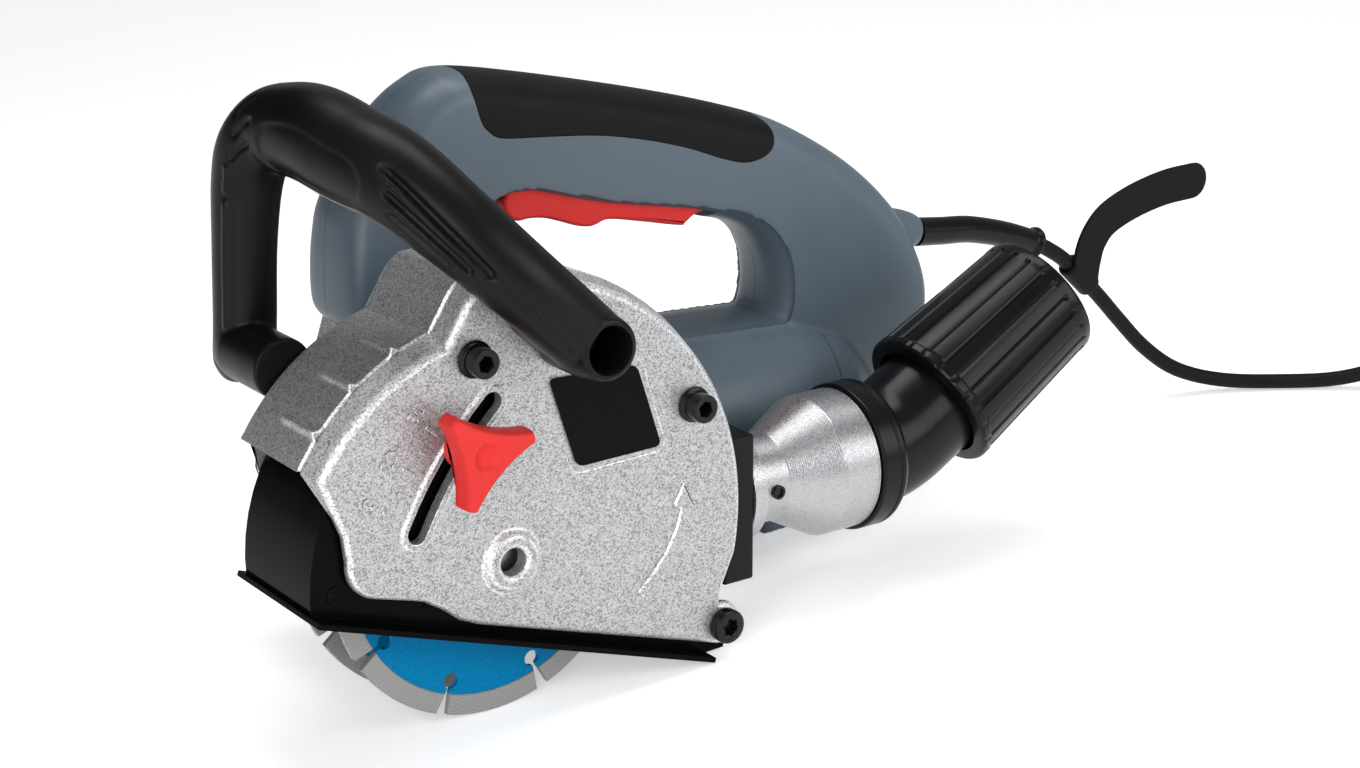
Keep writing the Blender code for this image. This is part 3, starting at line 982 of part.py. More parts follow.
def make_dust_outlet(machine, port, metal, black, rubber):
    """The port plate on the housing, the turned adapter with its set screw, the elbow and the ribbed sleeve."""
    depth = (PORT_FACE - PORT_PLATE_DEPTH, PORT_FACE)
    face = block((-PORT_UP, PORT_DOWN), (-PORT_HALF_WIDTH, PORT_HALF_WIDTH), depth)
    plate = add("dust_port", face, port, black)
    saddle = COVER_TOP_RADIUS + COVER_DRAFT + GAP
    cut(plate, across(SPINDLE, rod(saddle, -HOUSING_FAR_Y, 2 * HOUSING_FAR_Y, 96)), "saddle", machine)
    cut(plate, rod(PORT_BORE, PORT_FACE - 4 * PORT_PLATE_DEPTH, PORT_FACE + PORT_PLATE_DEPTH), "bore", port)

    start = PORT_FACE + GAP
    neck = start + ADAPTER_FLANGE
    spigot = ADAPTER_END + ADAPTER_SPIGOT
    profile = [(ADAPTER_FLANGE_RADIUS, start), (ADAPTER_FLANGE_RADIUS, neck), (ADAPTER_NECK_RADIUS, neck),
               (ADAPTER_NECK_RADIUS, ADAPTER_CONE[0]),
               (ADAPTER_RADIUS, ADAPTER_CONE[1]), (ADAPTER_RADIUS, ADAPTER_END),
               (ADAPTER_SPIGOT_RADIUS, ADAPTER_END), (ADAPTER_SPIGOT_RADIUS, spigot),
               (ADAPTER_SPIGOT_RADIUS - 3 * MM, spigot),
               (ADAPTER_SPIGOT_RADIUS - 3 * MM, ADAPTER_CONE[1] + 2 * MM),
               (PORT_BORE, ADAPTER_CONE[0] + 2 * MM),
               (PORT_BORE, start)]
    adapter = add("hose_adapter", turned(profile, 20), port, metal)
    side = Matrix.Translation((0, 0, SET_SCREW_AT)) @ Matrix.Rotation(math.pi / 2, 4, "X")
    hole = rod(SET_SCREW_RADIUS + GAP, 0, 2 * ADAPTER_FLANGE_RADIUS, 12)
    hole.transform(side)
    cut(adapter, hole, "screw_hole", port)
    screw = rod(SET_SCREW_RADIUS, PORT_BORE + 0.5 * MM, ADAPTER_NECK_RADIUS + 1.2 * MM, 12)
    screw.transform(side)
    add("adapter_set_screw", screw, port, black)

    bend = math.radians(ELBOW_ANGLE - PORT_ANGLE)

    def elbow_line(first, last, steps=4):
        """Points along the port axis, round the corner, then along the sleeve's axis."""
        tangent = ELBOW_BEND
        radius = tangent / math.tan(bend / 2)
        points = [(0, 0, height) for height in first]
        for i in range(steps + 1):
            turn = bend * i / steps
            points.append((-(radius - radius * math.cos(turn)), 0,
                           ELBOW_CORNER - tangent + radius * math.sin(turn)))
        points += [(-math.sin(bend) * along, 0, ELBOW_CORNER + math.cos(bend) * along) for along in last]
        return points

    begin = ADAPTER_END + GAP
    collar_end = ELBOW_COLLAR_END - 3 * MM
    sleeve_in = SLEEVE_START + 16 * MM
    heights = (begin, collar_end, ELBOW_COLLAR_END - 2 * MM - ELBOW_BEND / 4)
    outer = elbow_line((begin, begin + 4 * MM), (SLEEVE_START, sleeve_in))
    radii = [ELBOW_RADIUS] * len(outer)
    elbow = add("dust_elbow", swept(outer, radii, 18), port, black)
    join(elbow, turned([(0, heights[0]), (ELBOW_COLLAR_RADIUS, heights[0]), (ELBOW_COLLAR_RADIUS, heights[1]),
                        (ELBOW_COLLAR_RADIUS - 3 * MM, ELBOW_COLLAR_END),
                        (0, ELBOW_COLLAR_END)]), "collar", port)
    inner = elbow_line((begin - 5 * MM, begin + 4 * MM), (SLEEVE_START, sleeve_in + 5 * MM))
    cut(elbow, swept(inner, [ELBOW_RADIUS - ELBOW_WALL] * len(inner), 16), "bore", port)
    cut(elbow, rod(ADAPTER_SPIGOT_RADIUS + GAP, begin - 5 * MM, spigot + GAP, 20), "socket", port)

    sleeve_axis = empty("hose_sleeve_axis", port, (0, 0, ELBOW_CORNER), (0, -bend, 0))
    low, high = SLEEVE_START + GAP, SLEEVE_START + SLEEVE_LENGTH
    levels = [(SLEEVE_RADIUS - 1.5 * MM, 0, low), (SLEEVE_RADIUS, SLEEVE_RIB_DEPTH, low + 2 * MM),
              (SLEEVE_END_RADIUS, SLEEVE_RIB_DEPTH, high - 2 * MM), (SLEEVE_END_RADIUS - 1.5 * MM, 0, high)]
    sleeve = add("hose_sleeve", lofted([ribbed(*level) for level in levels]), sleeve_axis, rubber)
    bore = [(0, low - 5 * MM), (SLEEVE_RADIUS - 2 * SLEEVE_WALL - GAP, low - 5 * MM),
            (ELBOW_RADIUS + GAP, low + 3 * MM), (ELBOW_RADIUS + GAP, sleeve_in + GAP),
            (SLEEVE_END_RADIUS - SLEEVE_WALL - 1.5 * MM, sleeve_in + 4 * MM),
            (SLEEVE_END_RADIUS - SLEEVE_WALL - 1.5 * MM, high + 5 * MM), (0, high + 5 * MM)]
    cut(sleeve, turned(bore, 20), "bore", sleeve_axis)
    return sleeve_axis


def ribbed(radius, depth, height):
    """A ring of points with a narrow groove between each two broad ribs."""
    pitch = 2 * math.pi / SLEEVE_RIBS
    loop = []
    for i in range(SLEEVE_RIBS):
        for share, drop in ((0.0, depth), (0.14, 0.0), (0.86, 0.0)):
            turn = pitch * (i + share)
            loop.append(((radius - drop) * math.cos(turn), (radius - drop) * math.sin(turn), height))
    return loop


def cord_tube(name, points, parent, finish, resolution):
    """A round tube on straight pieces between the points."""
    curve = bpy.data.curves.new(name, "CURVE")
    curve.dimensions = "3D"
    curve.bevel_depth = CORD_RADIUS
    curve.bevel_resolution = resolution
    curve.use_fill_caps = True
    spline = curve.splines.new("POLY")
    spline.points.add(len(points) - 1)
    for spot, point in zip(spline.points, points):
        spot.co = (*point, 1.0)
    curve.materials.append(finish)
    obj = bpy.data.objects.new(name, curve)
    bpy.context.collection.objects.link(obj)
    obj.parent = parent
    return obj


def beside_motor(points):
    """Points of the cord, whose Y counts from the motor's plane, as metres in the frame of the floor."""
    return [(x * MM, MOTOR_Y + y * MM, z * MM) for x, y, z in points]


def coil_points(centre):
    """A coil of piled loops, spiralling in and out again, that goes down a layer where the spiral reverses."""
    turns = COIL_TURNS_A_LAYER * COIL_LAYERS
    base = CORD_RADIUS + TIE_THICKNESS + 2 * GAP
    points = []
    for i in range(round(turns * COIL_POINTS_A_TURN) + 1):
        at = i / COIL_POINTS_A_TURN
        layer = min(int(at / COIL_TURNS_A_LAYER), COIL_LAYERS - 1)
        within = at - layer * COIL_TURNS_A_LAYER
        radius = COIL_INNER_RADIUS + CORD_PITCH * (within if layer % 2 else COIL_TURNS_A_LAYER - within)
        joint = round(at / COIL_TURNS_A_LAYER)
        shift = 0.0
        if 0 < joint < COIL_LAYERS:
            ease = min(max((at - joint * COIL_TURNS_A_LAYER) / 0.5 + 0.5, 0.0), 1.0)
            shift = ease * ease * (3 - 2 * ease) - (1 if layer >= joint else 0)
        height = base + CORD_PITCH * (COIL_LAYERS - 1 - layer - shift)
        turn = math.radians(COIL_START) + 2 * math.pi * at
        points.append(Vector((centre.x + radius * math.cos(turn), centre.y + radius * math.sin(turn), height)))
    return points


def self_gap(points):
    """The least clear distance between parts of a coil that aren't neighbours along it."""
    array = np.array(points)
    far = np.linalg.norm(array[:, None] - array[None], axis=2)
    index = np.arange(len(array))
    apart = np.abs(index[:, None] - index[None]) > COIL_POINTS_A_TURN // 2
    return far[apart].min() - 2 * CORD_RADIUS


def make_cord(stand, slate, black):
    """The bush, the guard sleeve, the free cord, its strap, the coil of the rest, the tie and the plug."""
    (bx, bz), (ex, ez) = in_metres(BUSH_POINTS)
    start, end = Vector((bx, MOTOR_Y, bz)), Vector((ex, MOTOR_Y, ez))
    stages = [(0.0, BUSH_RADIUS), (0.55, BUSH_RADIUS), (0.8, BUSH_RADIUS - 0.6 * MM),
              (1.0, BUSH_RADIUS - 2.0 * MM)]
    bush_line = [start.lerp(end, share) for share, _ in stages]
    add("cord_bush", swept(bush_line, [radius for _, radius in stages], 14), stand, slate)
    socket = [start - (end - start).normalized() * GAP, end]
    for name in ("handle_shell_near", "handle_shell_far"):
        cut(bpy.data.objects[name], swept(socket, [BUSH_RADIUS + GAP] * 2, 14), "bush", stand)

    route = [tuple(point) for point in smooth(beside_motor(CORD_GUARD_LINE), 3)]
    radii = [CORD_GUARD_RADIUS] * len(route)
    radii[-3:] = [CORD_GUARD_RADIUS, CORD_GUARD_LIP, CORD_GUARD_LIP]
    add("cord_guard", swept(route, radii, 12), stand, black)

    turn = math.radians(COIL_START)
    outward = Vector((math.cos(turn), math.sin(turn), 0))
    heading = Vector((-math.sin(turn), math.cos(turn), 0))
    outer = COIL_INNER_RADIUS + CORD_PITCH * COIL_TURNS_A_LAYER
    last = Vector(beside_motor(CORD_LINE)[-1])
    lead = last + heading * 4 * CORD_RADIUS
    centre = lead - outward * outer
    coil = coil_points(centre)
    last.z = coil[0].z
    level = last - heading * 2 * CORD_RADIUS
    free = [tuple(point) for point in smooth([*beside_motor(CORD_LINE)[:-1], tuple(level)], 3)] + [tuple(last)]
    cord_tube("supply_cord", free, stand, black, 1)
    begin = last + heading * GAP
    tail_end = coil[-1] + heading * COIL_TAIL
    tail_end.z = PLUG_RADIUS + GAP
    tail = []
    for share in (0.25, 0.5, 0.75, 0.9, 1.0):
        ease = min(share / 0.9, 1.0)
        point = coil[-1].lerp(tail_end, share)
        point.z = coil[-1].z + (tail_end.z - coil[-1].z) * ease * ease * (3 - 2 * ease)
        tail.append(point)
    points = [begin, begin + heading * 2 * CORD_RADIUS, *coil[1:], *tail]
    print(f"least gap of the coil to itself: {self_gap(points) * 1000:.2f} mm")
    cord_tube("cord_coil", points, stand, black, 1)
    lengths = [sum((Vector(b) - Vector(a)).length for a, b in zip(line, line[1:])) for line in (free, points)]
    print(f"cord length: {sum(lengths):.2f} m")
    make_tie(stand, centre, outer, black)
    make_plug(stand, tail_end, heading, black)
    make_strap(stand, black)


def make_tie(stand, centre, outer, black):
    """A band round the bundle of loops, opposite the place where the cord enters."""
    holder = empty("coil_centre", stand, centre, (0, 0, math.radians(COIL_START + 180)))
    top = COIL_LAYERS * CORD_PITCH + TIE_THICKNESS + 2 * GAP
    inside = (COIL_INNER_RADIUS - CORD_RADIUS - 2 * GAP, outer + CORD_RADIUS + 2 * GAP)
    wall = TIE_THICKNESS
    holder.location.z = 0.0
    band = block((inside[0] - wall, inside[1] + wall), (-TIE_WIDTH / 2, TIE_WIDTH / 2), (0, top + wall))
    tie = add("coil_tie", band, holder, black)
    cut(tie, block(inside, (-TIE_WIDTH, TIE_WIDTH), (wall, top)), "opening", holder)


def make_plug(stand, point, heading, black):
    """A round plug with two pins, lying on its side at the end of the cord."""
    axis = empty("plug_axis", stand, point + heading * GAP, heading.to_track_quat("Z", "Y").to_euler())
    end = PLUG_LENGTH
    profile = [(0, 0), (PLUG_NECK_RADIUS, 0), (PLUG_NECK_RADIUS + 1 * MM, 0.36 * end),
               (PLUG_RADIUS * 0.62, 0.5 * end),
               (PLUG_RADIUS, 0.66 * end), (PLUG_RADIUS, end - 2 * MM), (PLUG_RADIUS - 2 * MM, end), (0, end)]
    plug = add("plug", turned(profile, 12), axis, black)
    for name, side in (("left", -1), ("right", 1)):
        pin = rod(PLUG_PIN_RADIUS, end - 4 * MM, end + PLUG_PIN_LENGTH, 12)
        pin.transform(Matrix.Translation((side * PLUG_PIN_SPREAD, 0, 0)))
        join(plug, pin, f"{name}_pin", axis)


def make_strap(stand, black):
    """The rubber strap: a clip round the cord and a flat strip that stands up from it."""
    near, far = (Vector(point) for point in beside_motor(CORD_LINE)[2:4])
    along = (far - near).normalized()
    middle = near.lerp(far, 0.42)
    axis = empty("strap_clip_axis", stand, middle, along.to_track_quat("Z", "Y").to_euler())
    half = STRAP_CLIP_LENGTH / 2
    strap = add("cord_strap", rod(STRAP_CLIP_RADIUS, -half, half, 12), axis, black)
    line = [Vector(point) for point in smooth(in_metres(STRAP_LINE), 2)]
    edges = ([], [])
    for i, point in enumerate(line):
        ahead = (line[min(i + 1, len(line) - 1)] - line[max(i - 1, 0)]).normalized()
        side = Vector((-ahead.y, ahead.x)) * STRAP_WIDTH / 2
        edges[0].append(tuple(point + side))
        edges[1].append(tuple(point - side))
    y = MOTOR_Y - CORD_RADIUS - STRAP_THICKNESS
    join(strap, slab(edges[0] + edges[1][::-1], y, y + STRAP_THICKNESS), "strip", stand)
    cut(strap, rod(CORD_RADIUS + GAP, -2 * half, 2 * half, 12), "bore", axis)


def centre_on_floor(stand, cords):
    """Moves the whole object so that the origin is under the middle of the machine."""
    bpy.context.view_layer.update()
    graph = bpy.context.evaluated_depsgraph_get()
    corners = []
    for obj in bpy.context.scene.objects:
        if obj.type == "MESH" and not obj.hide_render and obj.name not in cords:
            solid = obj.evaluated_get(graph)
            corners += [solid.matrix_world @ vertex.co for vertex in solid.data.vertices]
    for i in range(2):
        stand.location[i] = -round((min(c[i] for c in corners) + max(c[i] for c in corners)) / 2, 4)


def main():
    clear_scene()
    metal = finish_of("cast_aluminium", (0.55, 0.55, 0.56), 0.45, 0.8)
    steel = finish_of("bright_steel", (0.45, 0.45, 0.46), 0.35, 0.9)
    black_steel = finish_of("black_steel", (0.02, 0.02, 0.02), 0.4, 0.3)
    black = finish_of("black_plastic", (0.02, 0.02, 0.021), 0.5)
    rubber = finish_of("black_rubber", (0.018, 0.018, 0.018), 0.7)
    slate = finish_of("slate_plastic", (0.10, 0.13, 0.16), 0.5)
    red = finish_of("red_plastic", (0.75, 0.03, 0.035), 0.45)
    copper = finish_of("copper", (0.6, 0.25, 0.1), 0.4, 0.8)
    blade_finish = finish_of("blue_blade", (0.0, 0.2, 0.48), 0.5, 0.3)

    stand = empty("stand")
    machine = empty("machine", stand, (0, 0, FLOOR_DROP), (0, LEAN, 0))
    spindle_axis = empty("spindle_axis", machine, (SPINDLE_X, 0, SPINDLE_Z), (-math.pi / 2, 0, 0))
    motor_axis = empty("motor_axis", machine, (SPINDLE_X, MOTOR_Y, SPINDLE_Z),
                       (0, math.radians(90 - MOTOR_ANGLE), 0))
    port = empty("port_axis", machine, (PORT_POINT[0], PORT_Y, PORT_POINT[1]),
                 (0, math.radians(90 - PORT_ANGLE), 0))

    make_castings(machine, port, metal)
    make_bolts(machine, black_steel)
    make_guard(machine, black_steel)
    make_depth_knob(machine, steel, red)
    make_spindle(spindle_axis, steel, blade_finish)
    make_gear_case(machine, spindle_axis, motor_axis, metal, steel, black)
    make_motor(motor_axis, steel, copper, slate, black)
    make_handle(stand, machine, motor_axis, slate, rubber, red)
    make_front_handle(machine, black, black_steel)
    make_dust_outlet(machine, port, metal, black, rubber)
    make_cord(stand, slate, rubber)
    centre_on_floor(stand, CORD_PIECES)


main()
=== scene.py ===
import json
from math import asin, atan2, copysign, cos, degrees, exp, hypot, pi, radians, remainder, sin, sqrt, tan

import bmesh
import bpy
from mathutils import Matrix, Vector


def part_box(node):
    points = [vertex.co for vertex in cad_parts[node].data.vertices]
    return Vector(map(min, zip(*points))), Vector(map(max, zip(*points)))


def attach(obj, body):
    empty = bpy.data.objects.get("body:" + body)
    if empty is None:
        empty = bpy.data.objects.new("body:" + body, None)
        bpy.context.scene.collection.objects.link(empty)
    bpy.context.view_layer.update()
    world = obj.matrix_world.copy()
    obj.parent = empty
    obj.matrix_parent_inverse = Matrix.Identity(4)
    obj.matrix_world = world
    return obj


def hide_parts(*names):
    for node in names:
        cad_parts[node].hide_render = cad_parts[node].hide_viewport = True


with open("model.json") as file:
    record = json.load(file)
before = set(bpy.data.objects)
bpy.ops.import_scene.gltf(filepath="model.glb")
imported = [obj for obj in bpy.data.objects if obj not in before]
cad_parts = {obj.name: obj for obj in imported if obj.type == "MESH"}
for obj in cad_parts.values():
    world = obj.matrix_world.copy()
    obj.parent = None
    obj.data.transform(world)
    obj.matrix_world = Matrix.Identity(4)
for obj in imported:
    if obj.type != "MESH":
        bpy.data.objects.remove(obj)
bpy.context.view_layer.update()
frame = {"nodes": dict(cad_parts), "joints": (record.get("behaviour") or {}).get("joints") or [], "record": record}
joints = {joint["name"]: joint for joint in frame["joints"]}
mounts = {mount["name"]: mount for mount in frame["record"]["mounts"]}
millimetre = Matrix.Scale(0.001, 4)
replacedNodes = set()
print("frame loaded:", len(frame["nodes"]), "nodes")


# Places: everything below is in millimetres in the machine's own frame, as in the solids.
# X runs to the rear, Y away from the cover, Z square to the sole, from the guard's pivot at the cover's face.
pivotPoint = Vector(joints["guard_swing"]["pos_m"])
pivotPoint.y = joints["spindle_turn"]["pos_m"][1]
soleDown = Vector(mounts["sole_face"]["axis"])
lean = atan2(-soleDown.x, -soleDown.z)
machine = Matrix.Translation(pivotPoint) @ Matrix.Rotation(lean, 4, "Y") @ millimetre
floorUnderPivot = Matrix.Translation((pivotPoint.x, pivotPoint.y, 0)) @ millimetre


def jointFrame(name):  # local Z along the joint's axis, local Y across the machine
    along = Vector(joints[name]["axis"]).normalized()
    across = Vector((0, 1, 0)) if abs(along.y) < 0.9 else machine.to_3x3() @ Vector((0, 0, -1))
    across = (across - along * across.dot(along)).normalized()
    axes = Matrix((across.cross(along), across, along)).transposed().to_4x4()
    return Matrix.Translation(joints[name]["pos_m"]) @ axes @ millimetre


spindleFrame = jointFrame("spindle_turn")
motorFrame = jointFrame("armature_turn")
portFrame = jointFrame("elbow_swivel")
sleeveFrame = jointFrame("sleeve_turn")
spindle = (machine.inverted() @ Vector(joints["spindle_turn"]["pos_m"])).xz
motorWidth = (machine.inverted() @ Vector(joints["armature_turn"]["pos_m"])).y


# Lines and shapes
cornerShare = 0.45  # the most that a rounded corner takes of its sides


def between(low, high, steps):  # even steps with both ends
    return [low + (high - low) * i / steps for i in range(steps + 1)]


def arcLine(centre, radius, start, end, steps):
    turns = [radians(turn) for turn in between(start, end, steps)]
    return [(centre[0] + radius * cos(t), centre[1] + radius * sin(t)) for t in turns]


def throughPoints(points, steps):  # a smooth line through points of any size
    line = [Vector(point) for point in points]
    line = [2 * line[0] - line[1], *line, 2 * line[-1] - line[-2]]
    found = []
    for a, b, c, d in zip(line, line[1:], line[2:], line[3:]):
        for i in range(steps):
            t = i / steps
            bend = (2 * a - 5 * b + 4 * c - d) * t**2 + (3 * b - a - 3 * c + d) * t**3
            found.append(0.5 * (2 * b + (c - a) * t + bend))
    return [*found, line[-2]]


def smoothLoop(loop, steps):  # a closed loop with points added on a smooth curve
    line = throughPoints([loop[-1], *loop, loop[0], loop[1]], steps)
    return line[steps:steps * (len(loop) + 1)]


def inset(outline, distance):  # a closed outline moved inwards
    points = [Vector(point) for point in outline]
    area = sum(a.x * b.y - b.x * a.y for a, b in zip(points, points[1:] + points[:1]))
    moved = []
    for i, point in enumerate(points):
        before = (point - points[i - 1]).normalized()
        after = (points[(i + 1) % len(points)] - point).normalized()
        inward = Vector((-(before.y + after.y), before.x + after.x)).normalized() * copysign(1, area)
        moved.append(point + inward * distance)
    return moved


def eased(value):  # from 0 to 1 with a soft start and end
    value = min(max(value, 0), 1)
    return value * value * (3 - 2 * value)


def bowed(first, pull, last, shares):
    return [first * (1 - t) ** 2 + pull * 2 * t * (1 - t) + last * t**2 for t in shares]


def bendAt(before, point, after, radius, steps):  # a corner turned into a small curve
    back, ahead = before - point, after - point
    reach = min(radius, back.length * cornerShare, ahead.length * cornerShare)
    first, last = point + back.normalized() * reach, point + ahead.normalized() * reach
    return bowed(first, point, last, between(0, 1, steps))


def roundCorners(outline, radius, steps=4):  # all corners of a closed outline
    points = [Vector(point) for point in outline]
    corners = zip(points[-1:] + points, points, points[1:] + points[:1])
    return [spot for corner in corners for spot in bendAt(*corner, radius, steps)]


def softProfile(profile, radius):  # the inner corners of an open profile
    points = [Vector(point) for point in profile]
    corners = zip(points, points[1:], points[2:])
    return [points[0], *(spot for corner in corners for spot in bendAt(*corner, radius, 3)), points[-1]]


def joinRings(shape, loops, closed=False):
    rings = [[shape.verts.new(point) for point in loop] for loop in loops]
    for first, second in zip(rings, rings[1:] + (rings[:1] if closed else [])):
        for corners in zip(first, first[1:] + first[:1], second[1:] + second[:1], second):
            shape.faces.new(corners)
    return rings


def skin(loops, closed=False):  # loops joined in turn, with capped ends or closed into a ring
    shape = bmesh.new()
    rings = joinRings(shape, loops, closed)
    for ring in () if closed else rings[:1] + rings[1:][-1:]:
        shape.faces.new(ring)
    return shape


def stacked(outline, levels):  # an outline at each (inset, height)
    return [[(p[0], p[1], height) for p in (inset(outline, d) if d else outline)] for d, height in levels]


def sideLoops(outline, levels):  # an outline in X and Z, stacked along Y
    return [[(x, y, z) for x, z, y in loop] for loop in stacked(outline, levels)]


def plate(outline, levels):
    return skin(sideLoops(outline, levels))


def softLevels(low, high, edge):  # levels of a plate with round edges
    turns = between(0, pi / 2, 4)
    rise = [(edge * (1 - sin(t)), low + edge * (1 - cos(t))) for t in turns]
    return rise + [(d, low + high - y) for d, y in reversed(rise)]


def circles(profile, sides):  # a profile of (radius, height) about Z
    turns = between(0, 2 * pi, sides)[:-1]
    return [[(r * cos(t), r * sin(t), height) for t in turns] for r, height in profile]


def turned(profile, sides, soft=0, closed=False):  # the same as a solid, with its corners rounded
    rows = softProfile(profile, soft) if soft else profile
    return skin(circles([(max(radius, 0.01), height) for radius, height in rows], sides), closed)


def swept(centres, radii, sides=24, facing=None, carve=None):
    # a round tube along a line; with facing, angles start on that side and carve(share, angle) changes the radius
    centres = [Vector(centre) for centre in centres]
    loops, side = [], None
    last = len(centres) - 1
    for i, centre in enumerate(centres):
        along = (centres[min(i + 1, last)] - centres[max(i - 1, 0)]).normalized()
        hint = facing if facing is not None else (along.orthogonal() if side is None else side)
        side = (hint - along * hint.dot(along)).normalized()
        up = along.cross(side)
        loop = []
        for turn in between(0, 2 * pi, sides)[:-1]:
            reach = radii[i] - (carve(i / last, turn) if carve else 0)
            loop.append(centre + reach * (cos(turn) * side + sin(turn) * up))
        loops.append(loop)
    return skin(loops)


def block(x, y, z):
    return plate(((x[0], z[0]), (x[1], z[0]), (x[1], z[1]), (x[0], z[1])), ((0, y[0]), (0, y[1])))


def acrossAt(x, z, shape):  # turns a shape made about Z so that it runs along Y through (x, z)
    shape.transform(Matrix.Translation((x, 0, z)) @ Matrix.Rotation(-pi / 2, 4, "X"))
    return shape


def outwards(x, y, z, side=1):  # a place on the machine whose Z looks out of the near side, or of the far one
    return machine @ Matrix.Translation((x, y, z)) @ Matrix.Rotation(side * pi / 2, 4, "X")


def lyingAt(point, direction):  # a place over the floor with Z along a direction
    return floorUnderPivot @ Matrix.Translation(point) @ direction.to_track_quat("Z", "Y").to_matrix().to_4x4()


def axesAt(turn):  # outwards and sideways at an angle in radians
    return Vector((cos(turn), sin(turn))), Vector((-sin(turn), cos(turn)))


# Pieces
def linked(name, data):
    made = bpy.data.objects.new(name, data)
    bpy.context.collection.objects.link(made)
    return made


def asMesh(shape, name):
    mesh = bpy.data.meshes.new(name)
    shape.to_mesh(mesh)
    shape.free()
    return mesh


def plainMesh(shape, name="tool"):
    bmesh.ops.recalc_face_normals(shape, faces=shape.faces)
    return asMesh(shape, name)


def joined(shape, others):  # takes the other shapes in
    for other in others:
        mesh = plainMesh(other)
        shape.from_mesh(mesh)
        bpy.data.meshes.remove(mesh)
    return shape


def meshOf(name, shape, place):
    bmesh.ops.remove_doubles(shape, verts=shape.verts, dist=0.0005)
    mesh = plainMesh(shape, name)
    mesh.transform(place)
    return mesh


def addPiece(name, mesh, finish, node=None, body="machine", angle=34, slot=""):  # slot is not used
    mesh.shade_smooth()
    mesh.set_sharp_from_angle(angle=radians(angle))
    mesh.materials.clear()
    mesh.materials.append(finishes[finish])
    piece = linked(name, mesh)
    normals = piece.modifiers.new("faceNormals", "WEIGHTED_NORMAL")
    normals.keep_sharp = True
    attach(piece, body)
    if node:
        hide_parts(node)
        replacedNodes.add(node)
    return piece


def make(name, shape, place, finish, node=None, **more):
    return addPiece(name, meshOf(name, shape, place), finish, node, **more)


def evaluated(holder):  # the mesh of a helper object with its modifiers applied; the helper goes
    graph = bpy.context.evaluated_depsgraph_get()
    mesh = bpy.data.meshes.new_from_object(holder.evaluated_get(graph))
    bpy.data.objects.remove(holder)
    return mesh


def combined(mesh, other, operation="DIFFERENCE"):
    tool, holder = linked("tool", other), linked("helper", mesh)
    step = holder.modifiers.new("step", "BOOLEAN")
    step.operation, step.object, step.solver = operation, tool, "MANIFOLD"
    found = evaluated(holder)
    bpy.data.objects.remove(tool)
    return found


def dressed(node, edge, finish, body="machine", angle=34):  # a node's own shape with its sharp edges rounded
    shape = bmesh.new()
    shape.from_mesh(frame["nodes"][node].data)
    bmesh.ops.remove_doubles(shape, verts=shape.verts, dist=1e-6)
    bmesh.ops.dissolve_limit(shape, angle_limit=radians(2), verts=shape.verts, edges=shape.edges)
    sharp = [e for e in shape.edges if len(e.link_faces) == 2 and e.calc_face_angle() > radians(angle)]
    bmesh.ops.bevel(shape, geom=sharp, offset=edge * 0.001, segments=3, profile=0.5, affect="EDGES",
                    clamp_overlap=True)
    first, *words = node.split("_")
    return addPiece(first + "".join(word.capitalize() for word in words), asMesh(shape, node), finish, node, body)


# Finishes: each takes its grain from the object's own coordinates, in metres; nodes stay in their inputs' tree
def fill(node, inputs):  # a socket goes in as a link, anything else as a value
    for key, value in inputs.items():
        if isinstance(value, bpy.types.NodeSocket):
            node.id_data.links.new(value, node.inputs[key])
        else:
            node.inputs[key].default_value = value


def addNode(kind, inputs, output=0, **settings):
    tree = next(value.id_data for value in inputs.values() if isinstance(value, bpy.types.NodeSocket))
    node = tree.nodes.new("ShaderNode" + kind)
    for key, value in settings.items():
        setattr(node, key, value)
    fill(node, inputs)
    return node.outputs[output]


def newFinish(name, colour=(0.8, 0.8, 0.8)):
    finish = bpy.data.materials.new(name)
    finish.use_nodes = True
    finish.diffuse_color = (*colour, 1)
    nodes = finish.node_tree.nodes
    return finish, nodes["Principled BSDF"], nodes.new("ShaderNodeTexCoord").outputs["Object"]


def mathOf(operation, *values):
    return addNode("Math", dict(enumerate(values)), operation=operation)


def noiseOf(place, scale, detail=2, rough=0.5):
    inputs = {"Scale": scale, "Detail": detail, "Roughness": rough, "Vector": place}
    return addNode("TexNoise", inputs, "Fac")


def rampOf(value, stops):
    made = addNode("ValToRGB", {"Fac": value}, "Color")
    points = made.node.color_ramp.elements
    while len(points) < len(stops):
        points.new(0.5)
    for point, (at, colour) in zip(points, stops):
        point.position, point.color = at, (*colour, 1)
    return made


def rangeOf(value, low, high, fromLow=0.3, fromHigh=0.7):
    inputs = {"Value": value, "From Min": fromLow, "From Max": fromHigh, "To Min": low, "To Max": high}
    return addNode("MapRange", inputs, "Result")


def mixOf(share, first, second, blend="MIX"):
    inputs = {"Factor": share, "A": first, "B": second}
    return addNode("Mix", inputs, "Result", data_type="RGBA", blend_type=blend)


def bumpOf(height, strength, distance, under=None):
    inputs = {"Strength": strength, "Distance": distance, "Height": height}
    if under:
        inputs["Normal"] = under
    return addNode("Bump", inputs, "Normal")


def seenFrom(place, at):  # the same place in another frame
    inputs = {"Vector": place, "Location": at.translation, "Rotation": at.to_euler()}
    return addNode("Mapping", inputs, "Vector", vector_type="TEXTURE")


def shade(colour, factor):
    return tuple(min(channel * factor, 1) for channel in colour)


